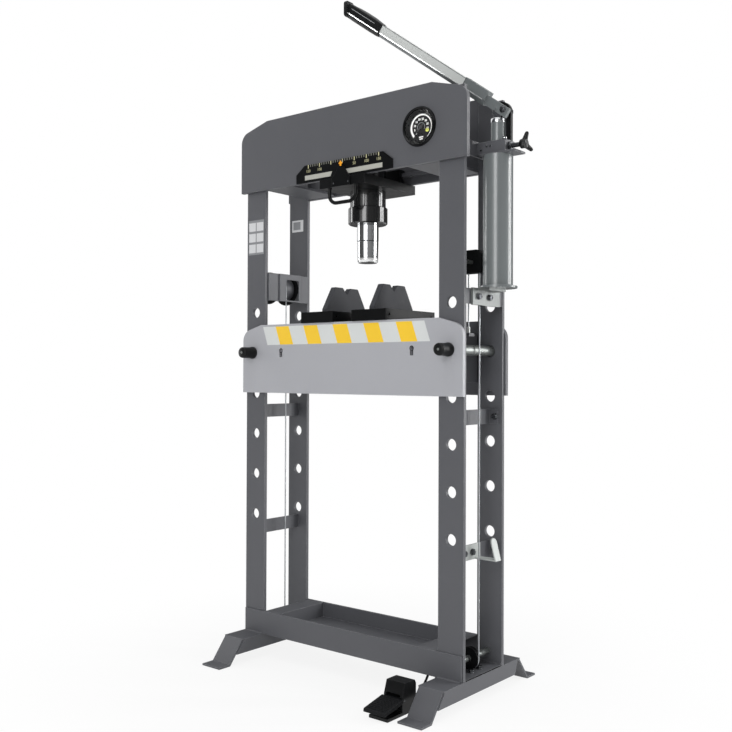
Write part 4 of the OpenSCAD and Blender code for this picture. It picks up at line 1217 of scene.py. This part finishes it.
class PRESS_OT_handle(bpy.types.Operator):
    """Pump handle: grey socket, drawn aluminium bar and moulded grip"""

    bl_idname = "press.handle"
    bl_label = "Handle"

    # The bar's section: heights of its top, shoulder and foot, half widths of its body and foot
    TOP, SHOULDER, FOOT, HALF, TOE = 19.0, -7.0, -19.0, 11.0, 3.0
    SOCKET_END, BAR_END = 108.0, 692.0
    # Painted highlight lines along the shoulders: start, end and how far the piece there stands
    # out
    EDGES = ((SOCKET_END, 508.0, 0.0), (16.0, 107.0, 3.0), (516.0, 686.0, 3.9))
    EDGE_SECTION = ((-1.0, -6.0), (0.5, -6.6), (-1.2, -9.6), (-2.4, -9.2))
    # Section of the dark lines along the top corners, painted as shade
    CORNER_SECTION = ((9.8, 17.4), (11.3, 17.4), (11.3, 19.2), (9.8, 19.2))
    # Distance along the bar, growth over it and crown of the top; the lip at the socket is painted
    # dark as shade
    LIP = ((105.0, 3.0), (105.4, 3.5), (107.6, 3.5), (SOCKET_END, 0.4))
    GRIP = ((510.0, 0.9, 0.0), (524.0, 3.0, 1.0), (560.0, 3.8, 3.2), (600.0, 3.8, 3.8),
            (640.0, 3.8, 2.6), (670.0, 3.4, 0.6), (690.0, 3.4, 0.0))
    RIB = ((545.0, 9.0), (547.0, 10.0), (664.0, 10.0), (666.0, 9.0))
    FLANGE_HALF_Y, FLANGE_HALF_Z, FLANGE_HALF_X, FLANGE_ROUND = 20.0, 25.8, 7.0, 9.0

    def along(self, u, y, n):
        """Point at a distance along the handle, across it and above it."""
        c, s = math.cos(HANDLE_RISE), math.sin(HANDLE_RISE)
        return HANDLE_BEND + Vector((-c * u + s * n, y, s * u + c * n))

    def outline(self, u, grow, crown=0.0):
        """Ring of points round the bar: flat sides, a flat top and a narrow foot."""
        half, toe, top, foot = self.HALF + grow, self.TOE + grow, self.TOP + grow, self.FOOT - grow
        flat = [(half, top), (half, self.SHOULDER), (toe, foot), (-toe, foot),
                (-half, self.SHOULDER), (-half, top), (-self.HALF * 0.4, top + crown),
                (self.HALF * 0.4, top + crown)]
        return [self.along(u, y, n) for y, n in flat]

    def execute(self, context):
        dress(tank_paint(), "handle_socket")
        bm = bmesh.new()
        faces = add_loft(bm, [self.outline(u, 0.0) for u in (24.0, self.BAR_END)])
        # The underside faces take the darker finish, as painted shade
        paint_faces(faces[1:4], 1)
        make_piece("drawn_bar", bm, [aluminium(), bar_underside()], "aluminium", "handle",
                   ["handle_bar"], bevel=1.2)
        self.bar_lines()
        bm = bmesh.new()
        add_loft(bm, [self.outline(*station) for station in self.GRIP])
        self.end_flange(bm)
        make_piece("moulded_grip", bm, plastic(), "black_plastic", "handle", ["handle_grip"],
                   bevel=3.0, segments=3)
        # Raised ribs along the grip, coloured grey as a painted highlight on the black plastic
        bm = bmesh.new()
        for side in (-1, 1):
            rib = [self.along(u, side * 14.6, n) for u, n in self.RIB]
            add_tube(bm, rib, 1.1, (0, 1, 0))
        make_piece("grip_ribs", bm, print_film("Rib grey", linear("8e9092")), "black_plastic",
                   "handle")
        return {"FINISHED"}

    def bar_lines(self):
        """Painted highlight lines along the shoulders, painted shade lines along the top, and the
        socket's lip painted dark as shade.
        """
        bm = bmesh.new()
        for side in (-1, 1):
            for start, end, grow in self.EDGES:
                add_loft(bm, [[self.along(u, side * (self.HALF + grow + y), n)
                               for y, n in self.EDGE_SECTION] for u in (start, end)])
        # Near-white strips that paint the highlight along the shoulders
        make_piece("bar_highlight_strips", bm, polished_edge(), "aluminium", "handle", bevel=0.3)
        # Dark bands at the socket's lip and along the top corners, painted as shade
        bm = bmesh.new()
        add_loft(bm, [self.outline(*station) for station in self.LIP])
        for side in (-1, 1):
            add_loft(bm, [[self.along(u, side * y, n) for y, n in self.CORNER_SECTION]
                          for u in (self.SOCKET_END, 509.0)])
        make_piece("bar_shade_corners", bm, bar_underside(), "aluminium", "handle")

    def end_flange(self, bm):
        """Upright rounded slab that closes the grip's end."""
        middle = self.along(self.BAR_END, 0.0, 1.0)
        y, z = self.FLANGE_HALF_Y - self.FLANGE_ROUND, self.FLANGE_HALF_Z - self.FLANGE_ROUND
        loop = []
        for sy, sz, turn in ((1, 1, 0), (-1, 1, 90), (-1, -1, 180), (1, -1, 270)):
            loop += arc_points(middle.y + sy * y, middle.z + sz * z, self.FLANGE_ROUND, turn,
                               turn + 90, 4)
        add_prism(bm, loop, "X", middle.x - self.FLANGE_HALF_X, middle.x + self.FLANGE_HALF_X)


class PRESS_OT_knob(bpy.types.Operator):
    """Three-lobed release knob on its spindle"""

    bl_idname = "press.knob"
    bl_label = "Knob"

    HUB = [(0, 0), (12.5, 0), (14, 1.5), (14, 18), (12, 20), (0, 20.4)]
    # A lobe's two balls: distance from the pump, distance from the spindle, radius
    BALLS = ((11, 5, 9.0), (20, 29, 6.0))
    SPINDLE = [(0, 512.0), (7.0, 512.0), (7.0, 583.0), (0, 583.0)]
    NUT = [(0, 543.0), (13.0, 543.0), (13.0, 550.0), (12.0, 551.0), (0, 551.0)]

    def execute(self, context):
        bm = bmesh.new()
        add_turned(bm, self.HUB, (KNOB_X, 0, KNOB_Z), "X", 40)
        for turn in (90, 210, 330):
            self.add_lobe(bm, math.radians(turn))
        knob = make_piece("lobed_knob", bm, plastic(), "black_plastic", "knob", ["release_knob"])
        melt = knob.modifiers.new("Moulded as one", "REMESH")
        melt.mode = "VOXEL"
        melt.voxel_size = 0.0014
        melt.use_smooth_shade = True
        soft = knob.modifiers.new("Soft blends", "SMOOTH")
        soft.factor = 0.5
        soft.iterations = 8
        bm = bmesh.new()
        add_turned(bm, self.SPINDLE, (0, 0, KNOB_Z), "X", 32)
        add_turned(bm, self.NUT, (0, 0, KNOB_Z), "X", 6)
        make_piece("release_spindle", bm, bolt_black(), "zinc", "knob")
        return {"FINISHED"}

    def add_lobe(self, bm, angle):
        """Rounded arm that runs out from the hub and away from the pump."""
        out = Vector((0, math.cos(angle), math.sin(angle)))
        lobe = bmesh.new()
        for ahead, reach, radius in self.BALLS:
            ball = bmesh.ops.create_uvsphere(lobe, u_segments=24, v_segments=16, radius=radius)
            spot = Vector((KNOB_X + ahead, 0, KNOB_Z)) + out * reach
            bmesh.ops.translate(lobe, verts=ball["verts"], vec=spot)
        hull = bmesh.ops.convex_hull(lobe, input=lobe.verts[:])
        spare = {e for e in hull["geom_interior"] + hull["geom_unused"]
                 if isinstance(e, bmesh.types.BMVert)}
        bmesh.ops.delete(lobe, geom=list(spare), context="VERTS")
        holder = bpy.data.meshes.new("lobe")
        lobe.to_mesh(holder)
        lobe.free()
        bm.from_mesh(holder)
        bpy.data.meshes.remove(holder)


class PRESS_OT_lift(bpy.types.Operator):
    """Winch drum, stranded cable, sheaves and guard"""

    bl_idname = "press.lift"
    bl_label = "Bed lift"

    SIDE = Vector((0, 1, 0))
    LOW_SHEAVE_Z, LOW_SHEAVE_TURN = 119.5, 31.8
    LEFT_SHEAVE_X, RIGHT_SHEAVE_X = -346.2, 408.2
    HIGH_SHEAVE_X, HIGH_SHEAVE_Z, HIGH_SHEAVE_TURN = 420.0, 1325.0, 20.0
    LUG_X, LUG_Z = 400.0, 1110.5
    COIL_START, COIL_STEP, COIL_TURNS, COIL_SIDES = -5.4, 5.5, 3, 44
    WIRES, WIRE_REACH, WIRE_RADIUS = 6, 1.5, 0.95
    SLEEVE = [(39.0, -41.8), (40.4, -41.8), (40.4, 41.8), (39.0, 41.8)]
    FERRULE = [(2.4, 1106.0), (5.0, 1106.6), (5.2, 1108.0), (5.2, 1128.0), (4.6, 1129.5),
               (2.4, 1130.0)]

    def execute(self, context):
        dress(black_paint(), "winch_drum", "lower_left_sheave", "lower_right_sheave",
              "upper_right_sheave", "sheave_guard")
        dress(zinc(), "sheave_axles")
        bm = bmesh.new()
        self.strands(bm, resampled([(x, 0.0, z) for x, z in self.route()], 5.0))
        make_piece("stranded_cable", bm, cable_steel(), "zinc", replaces=["lift_cable"])
        turned_piece("drum_sleeve", self.SLEEVE, (DRUM_X, 0, DRUM_Z), "Y", 72, frame_paint(),
                     "frame_paint", True, body="drum")
        bm = bmesh.new()
        coil = []
        for k in range(self.COIL_TURNS * self.COIL_SIDES + 1):
            x, z = polar(DRUM_X, DRUM_Z, CABLE_TURN, 360 * k / self.COIL_SIDES)
            coil.append(Vector((x, self.COIL_START - self.COIL_STEP * k / self.COIL_SIDES, z)))
        self.strands(bm, coil)
        make_piece("drum_coil", bm, cable_steel(), "zinc", "drum")
        turned_piece("cable_ferrule", self.FERRULE, (self.LUG_X, 0, 0), "Z", 20, aluminium(),
                     "aluminium")
        return {"FINISHED"}

    def route(self):
        """The cable's way from the drum over three sheaves to the bed, as (x, z)."""
        low, turn = self.LOW_SHEAVE_Z, self.LOW_SHEAVE_TURN
        flat = arc_points(DRUM_X, DRUM_Z, CABLE_TURN, 330, 0, 44)
        flat += [(DRUM_X + CABLE_TURN, 590.0)]
        flat += arc_points(self.LEFT_SHEAVE_X, low, turn, 180, 270, 12)
        flat += [(150.0, low - turn)]
        flat += arc_points(self.RIGHT_SHEAVE_X, low, turn, 270, 360, 12)
        flat += [(self.RIGHT_SHEAVE_X + turn, 900.0)]
        flat += arc_points(self.HIGH_SHEAVE_X, self.HIGH_SHEAVE_Z, self.HIGH_SHEAVE_TURN,
                           0, 180, 18)
        return flat + [(self.LUG_X, self.LUG_Z)]

    def strands(self, bm, points):
        """Wires twisted along a path."""
        pitch = size("cable_pitch")
        run = [0.0]
        for a, b in zip(points, points[1:]):
            run.append(run[-1] + (b - a).length)
        for wire in range(self.WIRES):
            spots = []
            for i, p in enumerate(points):
                u, v = across(points, i, self.SIDE)
                a = 2 * math.pi * (run[i] / pitch + wire / self.WIRES)
                spots.append(p + (u * math.cos(a) + v * math.sin(a)) * self.WIRE_REACH)
            add_tube(bm, spots, self.WIRE_RADIUS, self.SIDE, 6)


class PRESS_OT_pins(bpy.types.Operator):
    """Zinc locking pins with moulded grips"""

    bl_idname = "press.pins"
    bl_label = "Locking pins"

    GRIP = [(0, -182.5), (14.5, -182.5), (17.6, -181.2), (18.8, -178.0), (19.0, -172.0),
            (19.0, -138.5), (20.4, -136.6), (21.0, -135.0), (21.0, -129.0), (20.2, -127.9),
            (16.6, -127.9), (16.6, -129.0), (0, -129.0)]
    SCREW = [(0, -182.8), (3.4, -182.8), (4.4, -182.3), (4.4, -181.0), (0, -181.0)]

    def execute(self, context):
        dress(zinc(), "left_pin", "right_pin")
        for side, x in (("left", -COLUMN_MIDDLE), ("right", COLUMN_MIDDLE)):
            place, body = (x, 0, PIN_Z), "pin_" + side
            turned_piece(side + "_moulded_grip", self.GRIP, place, "Y", 56, plastic(),
                         "black_plastic", body=body, replaces=[side + "_pin_grip"], sharp=50)
            turned_piece(side + "_grip_screw", self.SCREW, place, "Y", 24, zinc(), "zinc",
                         body=body)
        return {"FINISHED"}


class PRESS_OT_pedal(bpy.types.Operator):
    """Moulded foot pedal with a ribbed tread"""

    bl_idname = "press.pedal"
    bl_label = "Pedal"

    TREAD_FRONT, TREAD_LOW, TREAD_SLOPE = -347.0, 31.0, 17.0 / 83.0
    RIBS, RIB_START, RIB_STEP, RIB_RADIUS = 9, -340.0, 8.4, 1.9
    # Place across the tread and height over it
    RIB = ((283.0, -0.4), (290.0, 0.1), (340.0, 0.1), (347.0, -0.4))

    def execute(self, context):
        dress(plastic(), "pedal_base")
        dress(rubber(), "pedal_tread")
        for node, width in (("pedal_base", 5.0), ("pedal_tread", 2.5)):
            round_edges(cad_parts[node], width, 3, 35)
        bm = bmesh.new()
        for k in range(self.RIBS):
            y = self.RIB_START + self.RIB_STEP * k
            z = self.TREAD_LOW + (y - self.TREAD_FRONT) * self.TREAD_SLOPE
            add_tube(bm, [(x, y, z + up) for x, up in self.RIB], self.RIB_RADIUS, (0, 0, 1))
        make_piece("tread_ribs", bm, rubber(), "black_plastic", "tread")
        return {"FINISHED"}


class PRESS_OT_hardware(bpy.types.Operator):
    """Hexagon bolts and washers of the frame, pump and hook"""

    bl_idname = "press.hardware"
    bl_label = "Hardware"

    # Bolts of the frame on either side: place, axis and direction
    FRAME = (
        ((427.0, -24.0, 84.0), "Z", 1), ((427.0, 24.0, 84.0), "Z", 1),
        ((435.5, -96.5, 443.0), "Y", 1), ((435.5, 96.5, 443.0), "Y", -1),
        ((435.5, -96.5, 853.0), "Y", 1), ((435.5, 96.5, 853.0), "Y", -1),
    )
    PUMP = ((465.0, -45.0, 1217.0), (465.0, 15.0, 1217.0))
    HOOK = ((420.5, -52.0, 444.0), (420.5, -8.0, 444.0))

    def execute(self, context):
        bm = bmesh.new()
        for s in (-1, 1):
            for (x, y, z), axis, sign in self.FRAME:
                add_hex_bolt(bm, (s * x, y, z), axis, sign)
        for place in self.PUMP:
            add_hex_bolt(bm, place, "X")
        make_piece("hex_bolts", bm, bolt_black(), "zinc", replaces=["frame_bolts"])
        bm = bmesh.new()
        for place in self.HOOK:
            add_hex_bolt(bm, place, "X")
        make_piece("hook_bolts", bm, bolt_black(), "zinc")
        bm = bmesh.new()
        add_hex_bolt(bm, (LEVER_X, -20.0, LEVER_Z), "Y", -1, 15.0, 5.0, 22.0)
        add_hex_bolt(bm, (LEVER_X, 20.0, LEVER_Z), "Y", 1, 17.0, 6.0, 22.0)
        make_piece("lever_nuts", bm, bolt_black(), "zinc")
        return {"FINISHED"}


class PRESS_OT_labels(bpy.types.Operator):
    """Blank pale films on the left columns"""

    bl_idname = "press.labels"
    bl_label = "Blank films"

    # Films as X from and to, Z from and to
    BACKING = (-453.0, -377.0, 1403.0, 1525.0)
    REAR_PLATE = (-447.0, -391.0, 1509.0, 1552.0)
    REAR_FIELD = (-441.0, -405.0, 1517.0, 1546.0)
    ROWS, COLUMNS = 3, 2
    FIRST_X, FIRST_Z = -451.0, 1410.0
    STEP_X, STEP_Z = 37.5, 38.0
    WIDTH, HEIGHT = 33.0, 30.0

    def execute(self, context):
        bm = bmesh.new()
        self.film(bm, self.BACKING, COLUMN_FACE, "ground", 1)
        for row in range(self.ROWS):
            for column in range(self.COLUMNS):
                x = self.FIRST_X + self.STEP_X * column
                z = self.FIRST_Z + self.STEP_Z * row
                square = (x, x + self.WIDTH, z, z + self.HEIGHT)
                self.film(bm, square, COLUMN_FACE, "print", 0)
        self.film(bm, self.REAR_PLATE, REAR_COLUMN_FACE, "ground", 0)
        self.film(bm, self.REAR_FIELD, REAR_COLUMN_FACE, "print", 1)
        make_piece("blank_films", bm, [print_film("Blank film", linear("cfd0d2")),
                                       print_film("Backing film", linear("85878a"))],
                   "frame_paint", sharp=20)
        return {"FINISHED"}

    def film(self, bm, place, face, layer, index):
        x0, x1, z0, z1 = place
        add_box(bm, x0, x1, *film_depths(face, layer), z0, z1, index)


PIECES = (
    PRESS_OT_stage, PRESS_OT_hoses, PRESS_OT_frame_coat, PRESS_OT_bed, PRESS_OT_scale,
    PRESS_OT_gauge, PRESS_OT_carriage, PRESS_OT_ram, PRESS_OT_pump, PRESS_OT_handle,
    PRESS_OT_knob, PRESS_OT_lift, PRESS_OT_pins, PRESS_OT_pedal, PRESS_OT_hardware,
    PRESS_OT_labels,
)


class PRESS_PT_sidebar(bpy.types.Panel):
    """Colours, sizes and pieces of the press"""

    bl_idname = "PRESS_PT_sidebar"
    bl_label = "Press"
    bl_space_type = "VIEW_3D"
    bl_region_type = "UI"
    bl_category = "Press"

    def draw(self, context):
        layout = self.layout
        for group in (context.scene.press_colours, context.scene.press_sizes):
            for key in group.__annotations__:
                layout.prop(group, key)
        for piece in PIECES:
            layout.operator(piece.bl_idname)


CLASSES = (PressColours, PressSizes) + PIECES + (PRESS_PT_sidebar,)


def register():
    for item in CLASSES:
        bpy.utils.register_class(item)
    bpy.types.Scene.press_colours = bpy.props.PointerProperty(type=PressColours)
    bpy.types.Scene.press_sizes = bpy.props.PointerProperty(type=PressSizes)


def unregister():
    del bpy.types.Scene.press_sizes
    del bpy.types.Scene.press_colours
    for item in reversed(CLASSES):
        bpy.utils.unregister_class(item)


def main():
    register()
    for piece in PIECES:
        group, name = piece.bl_idname.split(".")
        getattr(getattr(bpy.ops, group), name)()


if __name__ == "__main__":
    main()
